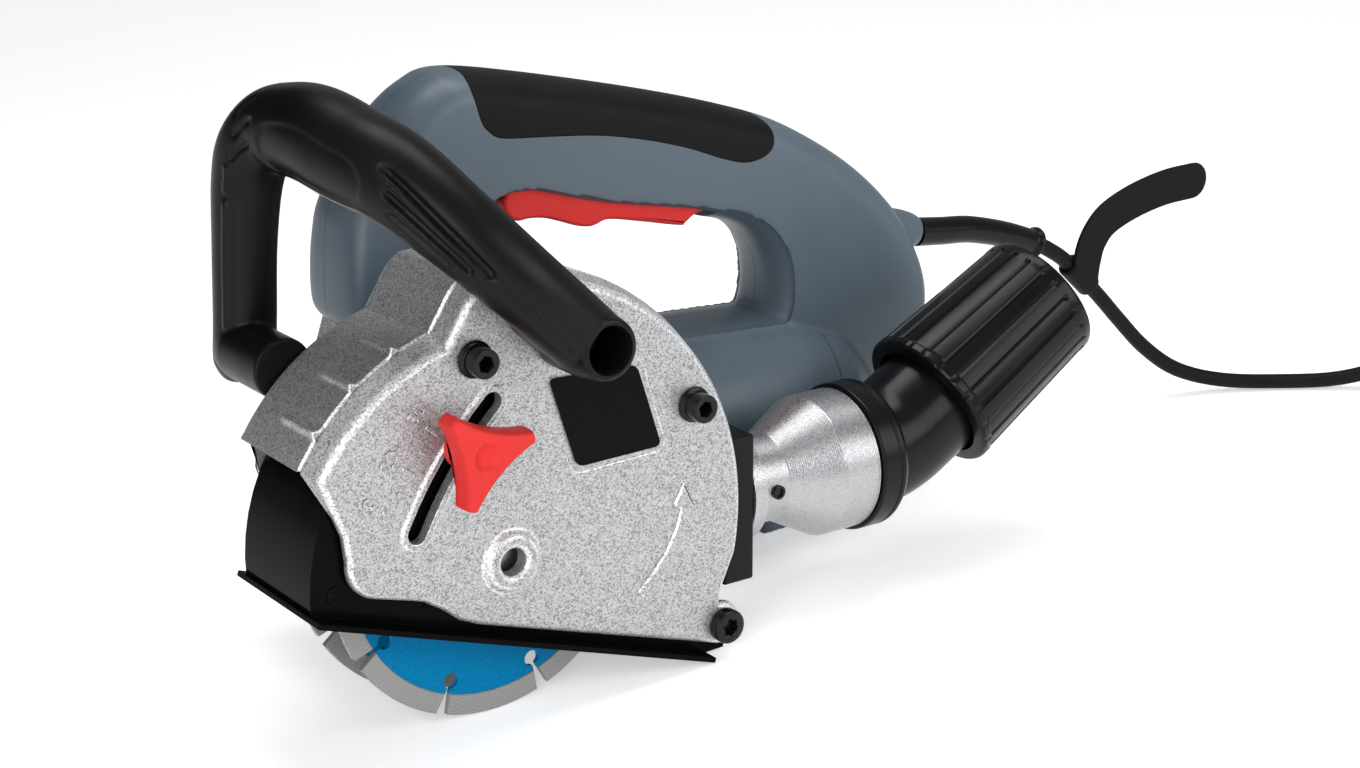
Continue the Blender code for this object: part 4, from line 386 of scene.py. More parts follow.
def mouldedFinish(name, look):  # plastic, rubber and paint: fine grain, broad variation, faint scuffs
    colour, tint, rough = look["colour"], look["tint"], look["rough"]
    finish, shader, place = newFinish(name, colour)
    cloud = noiseOf(place, look["cloud"], 4, 0.6)
    tone = rampOf(cloud, ((0.3, shade(colour, 1 - tint)), (0.7, shade(colour, 1 + tint))))
    scuffs = noiseOf(place, look["scuff"], 6, 0.75)
    worn = mathOf("MULTIPLY", rampOf(scuffs, ((0.66, (0, 0, 0)), (0.76, (1, 1, 1)))), look["wear"])
    grain = noiseOf(place, look["grain"], 3)
    fill(shader, {"Base Color": mixOf(worn, tone, (*shade(colour, 1.9), 1)),
                  "Roughness": rangeOf(cloud, rough - 0.06, rough + 0.06),
                  "Metallic": look["metal"], "Specular IOR Level": look["specular"],
                  "Normal": bumpOf(grain, look["bump"], 0.0002)})
    return finish


def castFinish(name, look):  # blasted casting: every grain has its own brightness and its own tilt
    colour, rough = look["colour"], look["rough"]
    finish, shader, place = newFinish(name, colour)
    cells = addNode("TexVoronoi", {"Scale": look["grain"], "Vector": place}, "Color")
    grain = addNode("SeparateColor", {"Color": cells}, "Red")
    tone = rampOf(grain, [(at, shade(colour, level)) for at, level in look["sparkle"]])
    if "faces" in look:  # painted shade darkens the sides, a painted highlight brightens the rounded edges
        facing = addNode("SeparateXYZ", {"Vector": place.node.outputs["Normal"]}, "Y")
        levels = [(at, (level, level, level)) for at, level in look["faces"]]
        tone = mixOf(1, tone, rampOf(mathOf("ABSOLUTE", facing), levels), "MULTIPLY")
    marks = None
    if "rings" in look:  # turning marks about the port's axis
        inputs = {"Scale": look["rings"], "Distortion": 1.5, "Vector": seenFrom(place, portFrame)}
        marks = bumpOf(addNode("TexWave", inputs, "Fac", bands_direction="Z"), 0.25, 0.0002)
    pits = noiseOf(place, look["grain"] * 0.8)
    spread = rangeOf(grain.node.outputs["Green"], rough - 0.12, rough + 0.12, 0, 1)
    fill(shader, {"Base Color": tone, "Roughness": spread, "Metallic": look["metal"],
                  "Normal": bumpOf(pits, look["bump"], 0.0004, marks)})
    return finish


def bladeFinish(name, look):  # speckled paint on the core, ground grit on the rim, split by the radius
    core, grit, edge = look["core"], look["grit"], look["rim"]
    finish, shader, place = newFinish(name, core)
    turn = seenFrom(place, spindleFrame)
    flat = addNode("VectorMath", {0: turn, 1: (1, 1, 0)}, operation="MULTIPLY")
    radius = addNode("VectorMath", {0: flat}, "Value", operation="LENGTH")
    rim = rangeOf(radius, 0, 1, edge - 0.0001, edge + 0.0001)
    speck = noiseOf(place, 1600)
    paint = rampOf(speck, ((0.3, shade(core, 0.8)), (0.62, core), (0.8, shade(core, 1.5))))
    inputs = {"Scale": 620, "Distortion": 9, "Detail": 4, "Detail Scale": 0.6, "Vector": turn}
    rings = addNode("TexWave", inputs, "Fac", wave_type="RINGS", rings_direction="Z")
    ground = rampOf(rings, ((0.1, shade(grit, 0.62)), (0.9, shade(grit, 1.2))))
    fill(shader, {"Base Color": mixOf(rim, paint, ground),
                  "Roughness": rangeOf(rim, 0.42, 0.55, 0, 1),
                  "Metallic": rangeOf(rim, 0, 0.6, 0, 1), "Specular IOR Level": 0.06,
                  "Normal": bumpOf(speck, 0.2, 0.0002)})
    return finish


lookKeys = ("colour", "grain", "cloud", "tint", "scuff", "wear", "rough", "bump", "specular", "metal")
looks = {
    "slate": ((0.094, 0.127, 0.158), 3200, 40, 0.05, 60, 0.06, 0.4, 0.12, 0.4, 0),
    "black": ((0.0048, 0.0047, 0.005), 2600, 30, 0.15, 90, 0.4, 0.34, 0.16, 0.15, 0),
    "gloss": ((0.004, 0.004, 0.0043), 900, 25, 0.1, 120, 0.3, 0.25, 0.05, 0.18, 0),
    "rubber": ((0.0085, 0.008, 0.0082), 2200, 50, 0.12, 70, 0.15, 0.5, 0.2, 0.1, 0),
    "paint": ((0.0028, 0.0028, 0.003), 420, 35, 0.1, 140, 0.4, 0.2, 0.06, 0.035, 0),
    "oxide": ((0.005, 0.005, 0.0054), 1500, 90, 0.2, 200, 0.35, 0.2, 0.08, 0.3, 0.2),
    "red": ((0.75, 0.04, 0.036), 2400, 60, 0.05, 80, 0, 0.45, 0.12, 0.14, 0),
    "badge": ((0.0045, 0.0045, 0.005), 2600, 50, 0.1, 150, 0.25, 0.42, 0.06, 0.045, 0),
    "steel": ((0.46, 0.46, 0.47), 1800, 80, 0.08, 120, 0.2, 0.3, 0.08, 0.5, 0.95),
    "copper": ((0.62, 0.27, 0.12), 1500, 100, 0.12, 90, 0.1, 0.35, 0.15, 0.5, 0.9),
    "stamping": ((0.3, 0.3, 0.31), 1300, 60, 0.12, 90, 0.1, 0.45, 0.12, 0.5, 0.8),
}
castLooks = {
    # sparkle: brightness of the grains by their share; faces: painted light by how squarely a face looks sideways,
    # painted shade on the sides and a painted highlight on the rounded edges
    "casting": {"colour": (0.86, 0.86, 0.875), "grain": 2000, "rough": 0.4, "metal": 0.6, "bump": 0.38,
                "sparkle": ((0, 0.36), (0.5, 0.88), (0.86, 1.02), (1, 1.28)),
                "faces": ((0.2, 0.56), (0.42, 1.1), (0.9, 1.1), (0.985, 0.6))},
    "turnedAluminium": {"colour": (0.46, 0.46, 0.47), "grain": 2600, "rough": 0.32, "metal": 0.9, "bump": 0.2,
                        "sparkle": ((0, 0.84), (0.5, 0.96), (0.9, 1), (1, 1.12)), "rings": 420},
}
bladeLook = {"core": (0, 0.21, 0.46), "grit": (0.36, 0.355, 0.35), "rim": 0.0547}

finishes = {name: mouldedFinish(name, dict(zip(lookKeys, look))) for name, look in looks.items()}
finishes.update({name: castFinish(name, look) for name, look in castLooks.items()})
finishes["blade"] = bladeFinish("blade", bladeLook)
print("finishes made:", len(finishes))


# Camera and light
cameraPlace = {"fromPivot": (-0.52993, -0.72437), "height": 0.41457, "turn": (71.148, 1.423, -35.788),
               "lens": 68.99, "sensor": 36}
lamps = {
    "overheadStrip": {"at": (0.2, 0.15, 1.5), "aim": (0, 0, 0.1), "size": (1.2, 0.55), "watts": 11},
    "frontSoftbox": {"at": (0.85, -1.45, 0.75), "aim": (0, 0, 0.08), "size": (1.2, 0.9), "watts": 12},
    "leftSoftbox": {"at": (-1.2, -1, 0.65), "aim": (0, 0, 0.12), "size": (0.9, 1.1), "watts": 13},
}
rearFlag = {"at": (-0.45, 0.95, 0.75), "aim": (-0.1, 0, 0.12), "size": (1.3, 1.1)}
worldLight = {"colour": (0.95, 0.97, 1), "strength": 0.34}
floorGlow = 0.45


def addCamera():
    data = bpy.data.cameras.new("camera")
    data.lens, data.sensor_width = cameraPlace["lens"], cameraPlace["sensor"]
    camera = linked("camera", data)
    across, back = cameraPlace["fromPivot"]
    camera.location = (pivotPoint.x + across, pivotPoint.y + back, cameraPlace["height"])
    camera.rotation_euler = [radians(a) for a in cameraPlace["turn"]]
    bpy.context.scene.camera = camera


def facing(thing):  # the turn of a lamp or card towards its aim
    return (Vector(thing["aim"]) - Vector(thing["at"])).to_track_quat("-Z", "Y")


def addSheet(name, wide, high, place, finish, seen=True):  # a flat piece of the studio
    corners = [(-wide, -high, 0), (wide, -high, 0), (wide, high, 0), (-wide, high, 0)]
    mesh = meshOf(name, skin([corners]), place)
    mesh.materials.append(finish)
    sheet = linked(name, mesh)
    if not seen:
        sheet.visible_camera = sheet.visible_shadow = False


def addStudio():
    bpy.context.scene.view_settings.view_transform = "Standard"
    world = bpy.data.worlds.new("studio")
    world.use_nodes = True
    sky = world.node_tree.nodes["Background"]
    sky.inputs["Color"].default_value = (*worldLight["colour"], 1)
    sky.inputs["Strength"].default_value = worldLight["strength"]
    bpy.context.scene.world = world
    for name, lamp in lamps.items():
        data = bpy.data.lights.new(name, "AREA")
        data.shape, data.energy = "RECTANGLE", lamp["watts"]
        data.size, data.size_y = lamp["size"]
        light = linked(name, data)
        light.location, light.rotation_euler = lamp["at"], facing(lamp).to_euler()
    # black card behind the castings, out of sight of the camera
    place = Matrix.Translation(rearFlag["at"]) @ facing(rearFlag).to_matrix().to_4x4()
    addSheet("rearFlag", *(side / 2 for side in rearFlag["size"]), place, finishes["rubber"], False)
    paper, shader, place = newFinish("floorPaper")
    stops = ((0.3, (0.9, 0.9, 0.9)), (0.7, (0.92, 0.92, 0.92)))
    rays = paper.node_tree.nodes.new("ShaderNodeLightPath").outputs
    mirrored = mathOf("MAXIMUM", rays["Is Glossy Ray"], rays["Is Transmission Ray"])
    seen = mathOf("MAXIMUM", rays["Is Camera Ray"], mirrored)
    fill(shader, {"Base Color": rampOf(noiseOf(place, 3), stops), "Roughness": 0.8,
                  "Emission Color": (1, 1, 1, 1), "Emission Strength": mathOf("MULTIPLY", seen, floorGlow)})
    addSheet("floor", 9, 9, Matrix.Translation((0, 0, -0.0004)), paper)


addCamera()
addStudio()
print("camera and studio made")


# Supply cord: leaves the guard sleeve, goes down to the floor and into a tied coil outside the picture
cord = {
    "radius": 3.5,
    "guardLine": ((185.4, 106, 109.1), (200, 106, 106.9), (216.3, 106, 104.6), (237, 106, 98.6),
                  (256.2, 106, 91)),
    "line": ((256.5, 106, 90.8), (264, 106, 86.8), (276, 106, 78.4), (295.4, 106, 59.8),
             (311, 106, 43.4), (327, 105, 27), (345, 101, 13.2), (366, 92, 5.6), (389, 77, 3.6),
             (413, 58, 5), (431, 40, 14), (442, 23, 27)),
    "coilTurnsALayer": 2.25, "coilLayers": 4, "coilStart": 210, "coilInner": 30, "coilGap": 0.6, "coilBase": 5.7,
    "pointsATurn": 32, "tail": 52, "plugRadius": 17.5, "plugLength": 46,
    "pinLength": 19, "pinRadius": 2.4, "pinAside": 9.5, "tieWidth": 14, "tieWall": 1.6,
    "guardRadius": (6.3, 5.7), "guardLip": {-4: 5.9, -3: 6.9, -2: 7.2, -1: 6.8},
}
cord["pitch"] = 2 * cord["radius"] + cord["coilGap"]
cord["coilOuter"] = cord["coilInner"] + cord["pitch"] * cord["coilTurnsALayer"]


def coilLine(centre):
    turnsALayer, layers = cord["coilTurnsALayer"], cord["coilLayers"]
    points = []
    for i in range(round(turnsALayer * layers * cord["pointsATurn"]) + 1):
        at = i / cord["pointsATurn"]
        layer = min(int(at / turnsALayer), layers - 1)
        within = at - layer * turnsALayer
        radius = cord["coilInner"] + cord["pitch"] * (within if layer % 2 else turnsALayer - within)
        corner = round(at / turnsALayer)
        shift = 0
        if 0 < corner < layers:
            shift = eased((at - corner * turnsALayer) / 0.5 + 0.5) - (1 if layer >= corner else 0)
        height = cord["coilBase"] + cord["pitch"] * (layers - 1 - layer - shift)
        turn = radians(cord["coilStart"]) + 2 * pi * at
        points.append(Vector((centre.x + radius * cos(turn), centre.y + radius * sin(turn), height)))
    return points


def tubeCurve(name, points, radius, finish):
    curve = bpy.data.curves.new(name, "CURVE")
    curve.dimensions = "3D"
    curve.bevel_depth, curve.bevel_resolution, curve.use_fill_caps = radius * 0.001, 5, True
    spline = curve.splines.new("POLY")
    spline.points.add(len(points) - 1)
    for spot, point in zip(spline.points, points):
        spot.co = (*(floorUnderPivot @ point), 1)
    spline.use_smooth = True
    curve.materials.append(finish)
    return linked(name, curve)


def layCord():
    outward, heading = (axis.to_3d() for axis in axesAt(radians(cord["coilStart"])))
    last = Vector(cord["line"][-1])
    centre = last + heading * 4 * cord["radius"] - outward * cord["coilOuter"]
    coil = coilLine(centre)
    last.z = coil[0].z
    level = last - heading * 2 * cord["radius"]
    sleeve = throughPoints(cord["guardLine"], 20)
    free = sleeve[-13:-1:4] + throughPoints([*cord["line"][:-1], tuple(level)], 5)
    free += [last, last + heading * 2 * cord["radius"]]
    tailEnd = coil[-1] + heading * cord["tail"]
    tailEnd.z = cord["plugRadius"] + 0.3
    tail = []
    for share in (0.15, 0.3, 0.45, 0.6, 0.75, 0.9, 1):
        point = coil[-1].lerp(tailEnd, share)
        point.z = coil[-1].z + (tailEnd.z - coil[-1].z) * eased(share / 0.9)
        tail.append(point)
    points = free + coil[1:] + tail
    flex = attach(tubeCurve("supplyCord", points, cord["radius"], finishes["rubber"]), "machine")
    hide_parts("supply_cord", "cord_coil")
    replacedNodes.update(("supply_cord", "cord_coil"))

    radii = between(*cord["guardRadius"], len(sleeve) - 1)
    for i, radius in cord["guardLip"].items():
        radii[i] = radius
    guardSleeve = make("cordGuard", swept(sleeve, radii, 32), floorUnderPivot, "gloss", "cord_guard", angle=45)
    ends = [makePlug(tailEnd, heading), makeTie(centre), makeStrap(), guardSleeve]


def makePlug(point, heading):
    length, radius = cord["plugLength"], cord["plugRadius"]
    profile = [(0, 0.3), (5, 0.3), (6.2, 2), (6.6, 0.36 * length), (radius * 0.62, 0.5 * length),
               (radius, 0.66 * length), (radius, length - 0.5), (0, length - 0.5)]
    place = lyingAt(point, heading)
    body = make("plugBody", turned(profile, 48, 3), place, "rubber", "plug")
    thick, low, high = cord["pinRadius"], length - 2, length + cord["pinLength"]
    for name, side in (("plugPinLeft", -1), ("plugPinRight", 1)):
        pin = turned([(0, low), (thick, low), (thick, high), (0, high)], 24, 1.4)
        pin.transform(Matrix.Translation((cord["pinAside"] * side, 0, 0)))
        make(name, pin, place, "steel", slot=None).parent = body
    return body


def makeTie(centre):
    low, high = cord["coilInner"] - cord["radius"] - 0.6, cord["coilOuter"] + cord["radius"] + 0.6
    top = cord["coilLayers"] * cord["pitch"] + cord["tieWall"] + 0.6
    wall, half = cord["tieWall"], cord["tieWidth"] / 2
    inner = roundCorners([(low, wall), (high, wall), (high, top), (low, top)], 4)
    left, right = low - wall, high + wall
    outside = roundCorners([(left, 0), (right, 0), (right, top + wall), (left, top + wall)], 5)
    rows = ((outside, -half), (outside, half), (inner, half), (inner, -half))
    loops = [[(x, y, z) for x, z in line] for line, y in rows]
    place = floorUnderPivot @ Matrix.Translation((centre.x, centre.y, 0))
    place = place @ Matrix.Rotation(radians(cord["coilStart"] + 180), 4, "Z")
    return make("coilTie", skin(loops, True), place, "rubber", "coil_tie")


strap = {"line": ((284.1, 70.6), (284.9, 79), (288.2, 87.6), (296.4, 95.6), (312.6, 101.2), (333, 104.4),
                  (352, 104.6)),
         "width": 17, "thick": 2, "clipAt": 0.42, "clipRadius": 5.6, "clipLength": 19}


def makeStrap():
    near, far = Vector(cord["line"][2]), Vector(cord["line"][3])
    half, radius = strap["clipLength"] / 2, strap["clipRadius"]
    profile = [(3.8, -half), (radius - 0.6, -half), (radius, -half + 1), (radius, half - 1), (radius - 0.6, half),
               (3.8, half)]
    place = lyingAt(near.lerp(far, strap["clipAt"]), (far - near).normalized())
    holder = make("strapClip", turned(profile, 40, 0.5, True), place, "rubber", "cord_strap")
    line = throughPoints(strap["line"], 6)
    heel = (near - far).xz.normalized() * half  # the strip starts along the clip
    left, right = [], []
    for i, point in enumerate(line):
        along = (line[min(i + 1, len(line) - 1)] - line[max(i - 1, 0)]).normalized()
        side = Vector((-along.y, along.x)) * strap["width"] / 2
        side = side.lerp(heel, max(0, 1 - i / 8))
        left.append(point + side)
        right.append(point - side)
    tip = [line[-1] + along * strap["width"] / 2 * sin(t) + side * cos(t) for t in between(0, pi, 10)[1:-1]]
    y = motorWidth - cord["radius"] - strap["thick"]
    shape = plate(left + tip + right[::-1], softLevels(y, y + strap["thick"], 0.7))
    make("strapStrip", shape, floorUnderPivot, "rubber").parent = holder
    return holder


layCord()
print("cord laid")


# Castings: the cover and the blade housing share one outline, which grows a little with the draft
casting = {
    "frontRadius": 85, "frontTurns": (167.3, 124.2), "topRadius": 100.5, "topTurns": (113.5, 7),
    "lug": 8.3, "heelAt": (-154.5, 9.6), "heel": 13.2, "edge": 2.5,
    "cover": {"face": 0, "side": 1, "depth": 10.5, "plate": 3.5, "faceGrow": 0, "rimGrow": 3.4},
    "housing": {"face": 58, "side": -1, "depth": 47.2, "plate": 3.6, "faceGrow": 1.2, "rimGrow": 3.4},
    "ridges": (158.4, 145.5, 133.4, 104.5), "ridgeHeight": 1.5, "ridgeHalf": 1.15, "ridgeReach": 29,
    "ridgeHead": 1.3, "headHalf": 2,
    "toe": ((-109, -9.2), (-117, -8.2), (-125.5, -5), (-134, -2.9)),
    "cheek": ((-171.8, 16.4), (-176.5, 22)),
    "slotRadius": 146, "slotFrom": 8.3, "slotTo": 28.7, "slotHalf": 3.6,
    "badge": ((-107, 81), (-71.6, 91.4), (-51.3, 63.9), (-85.4, 51.8)),
    "arrow": ((-44.4, 8.9), (-40.2, 16.3), (-36.5, 25.2), (-34.8, 34), (-34.8, 41.5), (-38.7, 42.7), (-36.6, 51.6),
              (-28.9, 43.8), (-31.9, 42.7), (-30.9, 36.6), (-30.8, 30.1), (-31.9, 21.4), (-34.3, 12.5), (-37.1, 4.9)),
    # depth scale: turns about the pivot in degrees
    "figures": {"10": 9.4, "20": 15.4, "30": 21.6}, "figureRadius": 168, "figureSize": 7.2,
    "ticks": (9.6, 12.45, 15.3, 18.15, 21), "tickRadius": (156.6, 162.4), "tickHalf": 0.6,
    "frontBolt": (-139.4, 83.8), "rearBolt": (-41.7, 80.6),
    # levels of (reach, y): a raised rim about the slot, and a boss about the spindle
    "slotLevels": ((3.4, 0), (2.7, -0.2), (2.1, -0.8), (1.6, -1), (0.6, -1), (0.15, -0.7), (0, 0.2), (0, 3.5)),
    "bossLevels": ((13, 0), (12, -0.25), (11.2, -0.9), (10.6, -1.8), (9.8, -2.6), (8.8, -3), (7.6, -3.1),
                   (6.4, -2.8), (5.5, -2.1), (5, -1), (5, 3.5)),
}


def upperEdge(grow):
    front = arcLine(spindle, casting["frontRadius"] + grow, *casting["frontTurns"], 110)
    top = arcLine(spindle, casting["topRadius"] + grow, *casting["topTurns"], 230)
    first, last = Vector(front[-1]), Vector(top[0])
    step = [first] + [first.lerp(last, t) + Vector((-2.2 * t, 0)) for t in (0.3, 0.72)] + [last]
    return front + [tuple(point) for point in throughPoints(step, 6)[1:-1]] + top


def castingLine(grow):
    lug = arcLine((0, 0), casting["lug"], 118, -90, 28)
    heel = arcLine(casting["heelAt"], casting["heel"], 270, 190, 16)
    return upperEdge(grow) + [(-4.4, 14)] + lug + list(casting["toe"]) + heel + list(casting["cheek"])


def aboutPivot(radius, turn):
    return Vector((-radius * cos(radians(turn)), radius * sin(radians(turn))))


def slotLine(half):
    low, high, middle = casting["slotFrom"], casting["slotTo"], casting["slotRadius"]
    turns = between(low, high, 24)
    line = [aboutPivot(middle + half, turn) for turn in turns]
    line += arcLine(aboutPivot(middle, high), half, 162 - high, 18 - high, 8)
    line += [aboutPivot(middle - half, turn) for turn in turns[::-1]]
    return line + arcLine(aboutPivot(middle, low), half, -low - 18, -low - 162, 8)


def ridgeLift(x, z, fromJoint):  # gussets that run back from the joint, each with a round head
    turn = degrees(atan2(z - spindle[1], x - spindle[0]))
    fade = eased((casting["ridgeReach"] - fromJoint) / 8)
    lift = 0
    for ridge in casting["ridges"]:
        away = radians(turn - ridge) * casting["frontRadius"]
        lift += casting["ridgeHeight"] * fade * exp(-((away / casting["ridgeHalf"]) ** 2))
        lift += casting["ridgeHead"] * exp(-(away**2 + fromJoint**2) / casting["headHalf"] ** 2)
    return lift


def castDish(part, features, ridged):
    upper = len(upperEdge(0))
    depth, plateDepth, edge = part["depth"], part["plate"], casting["edge"]

    def loopAt(inward, down):
        share = down / depth
        line = castingLine(part["faceGrow"] + (part["rimGrow"] - part["faceGrow"]) * share)
        if ridged:  # the wall ends in a face that looks straight down
            line.append((line[0][0] + 4, line[0][1] + 0.3))
        moved = inset(line, inward) if inward else [Vector(point) for point in line]
        loop = []
        for i, point in enumerate(moved):
            if i < upper and ridged:
                away = (point - Vector(spindle)).normalized()
                point = point + away * ridgeLift(point.x, point.y, depth - down)
            level = down if i < upper else min(down, plateDepth)
            loop.append((point.x, part["face"] + part["side"] * level, point.y))
        return loop

    turns = between(0, pi / 2, 5)
    loops = [loopAt(edge * (1 - sin(t)), edge * (1 - cos(t))) for t in turns]
    count = 24 if ridged else 6
    loops += [loopAt(0, down) for down in between(edge, depth - 1, count)[1:]]
    loops += [loopAt(0.5, depth - 0.4), loopAt(1.3, depth), loopAt(plateDepth, depth),
              loopAt(plateDepth, plateDepth)]
    shape = bmesh.new()
    rings = joinRings(shape, loops)
    fronts, backs = [rings[0]], [rings[-1]]
    for rows, through in features:
        rings = joinRings(shape, rows)
        fronts.append(rings[0])
        if through:
            backs.append(rings[-1])
        else:
            shape.faces.new(rings[-1])
    for group in (fronts, backs):
        edges = [shape.edges.get((ring[i - 1], ring[i])) for ring in group for i in range(len(ring))]
        bmesh.ops.triangle_fill(shape, use_beauty=True, use_dissolve=False, edges=edges)
    return shape


def makeCastings():
    slot = [[(x, y, z) for x, z in slotLine(casting["slotHalf"] + wide)] for wide, y in casting["slotLevels"]]
    boss = [[(x, y, z) for x, z in arcLine(spindle, radius, 0, 360 - 360 / 64, 63)]
            for radius, y in casting["bossLevels"]]
    badge = roundCorners(inset(casting["badge"], -3.4), 5)
    recess = sideLoops(badge, ((-0.5, 0), (0, 0.12), (0.35, 0.4)))
    features = ((slot, True), (boss, True), (recess, False))
    make("bladeCover", castDish(casting["cover"], features, False), machine, "casting", "blade_cover", angle=40)
    make("bladeHousing", castDish(casting["housing"], (), True), machine, "casting", "blade_housing", angle=40)
    plateLine = roundCorners(casting["badge"], 3)
    make("badgePlate", plate(plateLine, softLevels(-0.8, 0.35, 0.3)), machine, "badge", "badge_plate")
    arrow = plate(roundCorners(casting["arrow"], 0.8, 2), ((0, 0.05), (0, -0.3), (0.8, -0.95)))
    make("coverArrow", arrow, machine, "casting")


def makeDepthScale():  # raised figures along the slot, with ticks between them and the slot
    for number, turn in casting["figures"].items():
        text = bpy.data.curves.new("figure" + number, "FONT")
        text.body, text.size, text.extrude, text.bevel_depth = number, casting["figureSize"], 0.3, 0.25
        text.align_x, text.align_y = "CENTER", "CENTER"
        mesh = evaluated(linked("helper", text))
        bpy.data.curves.remove(text)
        shape = bmesh.new()
        shape.from_mesh(mesh)
        bpy.data.meshes.remove(mesh)
        at = aboutPivot(casting["figureRadius"], turn)
        stand = Matrix.Rotation(pi / 2, 4, "X") @ Matrix.Rotation(radians(90 - turn), 4, "Z")
        shape.transform(Matrix.Translation((at.x, -0.2, at.y)) @ stand)
        make("depthFigure" + number, shape, machine, "casting")
    near, far = casting["tickRadius"]
    wide = degrees(casting["tickHalf"] / near)
    for i, turn in enumerate(casting["ticks"]):
        reach = far if i % 2 == 0 else (near + far) / 2
        sides = ((near, -wide), (near, wide), (reach, wide), (reach, -wide))
        bar = [aboutPivot(radius, turn + aside) for radius, aside in sides]
        make(f"depthTick{i + 1}", plate(bar, ((0, 0.05), (0, -0.4), (0.35, -0.75))), machine, "casting")


# heads of (radius, height) outwards from the seat; sockets of (reach, lobe depth, sunk), star-shaped with lobes
screws = {
    "sides": 60, "corners": 6, "rim": 1.12, "edge": 0.4, "soft": 0.7,
    "coverHead": ((2.9, -12), (2.9, 0.05), (6.7, 0.05), (6.7, 1.6), (5.3, 1.9), (5.3, 8.2), (4.3, 8.2)),
    "pivotHead": ((3.6, -8), (3.6, 0.1), (6.6, 0.1), (6.6, 4.6), (5.2, 5)),
    "handleHead": ((2.9, -6), (2.9, 0), (6.2, 0), (6.2, 5), (5, 5)),
    "coverSocket": (2.55, 0, 5.5), "pivotSocket": (3, 0.14, 3.2), "handleSocket": (2.1, 0, 3),
}


def socketLine(reach, lobeDepth):  # a hexagon or a star, by angle
    found, corners = [], screws["corners"]
    for t in between(0, 2 * pi, screws["sides"])[:-1]:
        if lobeDepth:
            radius = reach * (1 + lobeDepth * cos(corners * t))
        else:
            radius = reach / cos((t % (2 * pi / corners)) - pi / corners)
        found.append((radius * cos(t), radius * sin(t)))
    return found


def makeScrew(name, node, x, z, kind, side=1, base=0):
    profile, (reach, lobeDepth, sunk) = screws[kind + "Head"], screws[kind + "Socket"]
    socket, top = socketLine(reach, lobeDepth), profile[-1][1]
    loops = circles(softProfile(profile, screws["soft"]), screws["sides"])
    for grow, height in ((screws["rim"], top), (1, top - screws["edge"]), (1, top - sunk)):
        loops.append([(px * grow, py * grow, height) for px, py in socket])
    return make(name, skin(loops), outwards(x, base, z, side), "oxide", node)


makeCastings()
makeDepthScale()
makeScrew("frontCoverBolt", "cover_bolt_front", *casting["frontBolt"], "cover")
makeScrew("rearCoverBolt", "cover_bolt_rear", *casting["rearBolt"], "cover")
makeScrew("pivotBolt", "pivot_bolt", 0, 0, "pivot")
print("castings and bolts made")


# Swinging guard with its sole, the depth stud and the knob
guard = {"spots": ((-129.6, -6.1), (-99.4, -13), (-64, -13)), "rivet": (-166.9, -4.6), "rivetGrow": 1.9,
         "spotProfile": ((1.9, -0.1), (1.75, 0.2), (1.3, 0.24), (0.8, 0.02), (0, -0.03)), "cheek": 5,
         "tipRadius": (138, 154), "tipTurn": (25.4, 31.5),
         "knobAt": (-135.65, 53.98), "reach": 19.9, "waist": 9.3, "endHalf": 2.3, "turn": 29, "foot": (1.2, 9.3),
         "top": 17.9, "dish": 4.9}


def makeGuard():
    dressed("guard", 0.7, "paint", "swinging_guard")
    spots = {f"weldSpot{i + 1}": (spot, 1) for i, spot in enumerate(guard["spots"])}
    spots["guardRivet"] = (guard["rivet"], guard["rivetGrow"])
    for name, ((x, z), grow) in spots.items():
        spot = turned([(radius * grow, height * grow) for radius, height in guard["spotProfile"]], 32)
        make(name, spot, outwards(x, guard["cheek"], z), "paint", body="swinging_guard")
    (near, far), (low, high) = guard["tipRadius"], guard["tipTurn"]
    turns = between(low, high, 6)
    tip = [aboutPivot(far, turn) for turn in turns] + [aboutPivot(near, turn) for turn in turns[::-1]]
    tipSheet = plate(tip, ((0, guard["cheek"] + 0.2), (0, guard["cheek"] + 1.8)))
    make("cheekTip", tipSheet, machine, "paint", body="swinging_guard")
    dressed("depth_stud", 0.3, "steel", "swinging_guard")


def knobOutline():
    line, reach, half = [], guard["reach"], guard["endHalf"]
    for lobe in range(3):
        turn = radians(guard["turn"] + 120 * lobe)
        out, side = axesAt(turn)
        first, last = out * reach - side * half, out * reach + side * half
        for t in between(0, 1, 6):
            bow = 0.5 * (1 - (2 * t - 1) ** 2)
            line.append(first.lerp(last, t) + out * (bow - 0.5))
        nextOut, nextSide = axesAt(turn + radians(120))
        goal = nextOut * reach - nextSide * half
        pull = 2 * axesAt(turn + pi / 3)[0] * guard["waist"] - 0.5 * (last + goal)
        line += bowed(last, pull, goal, between(0, 1, 16)[1:-1])
    return line


def makeKnob():
    line = knobOutline()
    low, high = guard["foot"][1] - 1.5, guard["top"]
    levels = [(2.4, low), (1.2, low + 0.25), (0.3, low + 1), (0, low + 1.8), (0, low + 4.4), (0.22, low + 4.55),
              (0.22, low + 4.9), (0, low + 5.05), (0.2, high - 2.2), (0.45, high - 1.2), (0.95, high - 0.45),
              (1.6, high - 0.15)]
    loops = stacked(line, levels)
    edge = inset(line, 1.6)
    brim = [p.normalized() * guard["dish"] for p in edge]
    for share, drop in ((0.3, 0.2), (0.6, 0.34), (0.85, 0.56), (1, 0.9)):
        loops.append([(*p.lerp(q, share), high - drop) for p, q in zip(edge, brim)])
    for share, drop in ((0.84, 1.7), (0.64, 2.45), (0.4, 2.95), (0.14, 3.15)):
        loops.append([(*(p * share), high - drop) for p in brim])
    x, z = guard["knobAt"]
    place = outwards(x, 0, z)
    knob = make("depthKnob", skin(loops), place, "red", "depth_knob", body="knob", angle=50)
    seat = guard["foot"][0]
    foot = turned([(3.4, seat), (8, seat), (8, low + 0.6), (3.4, low + 0.6)], 48, 0.6)
    make("knobFoot", foot, place, "red", body="knob").parent = knob


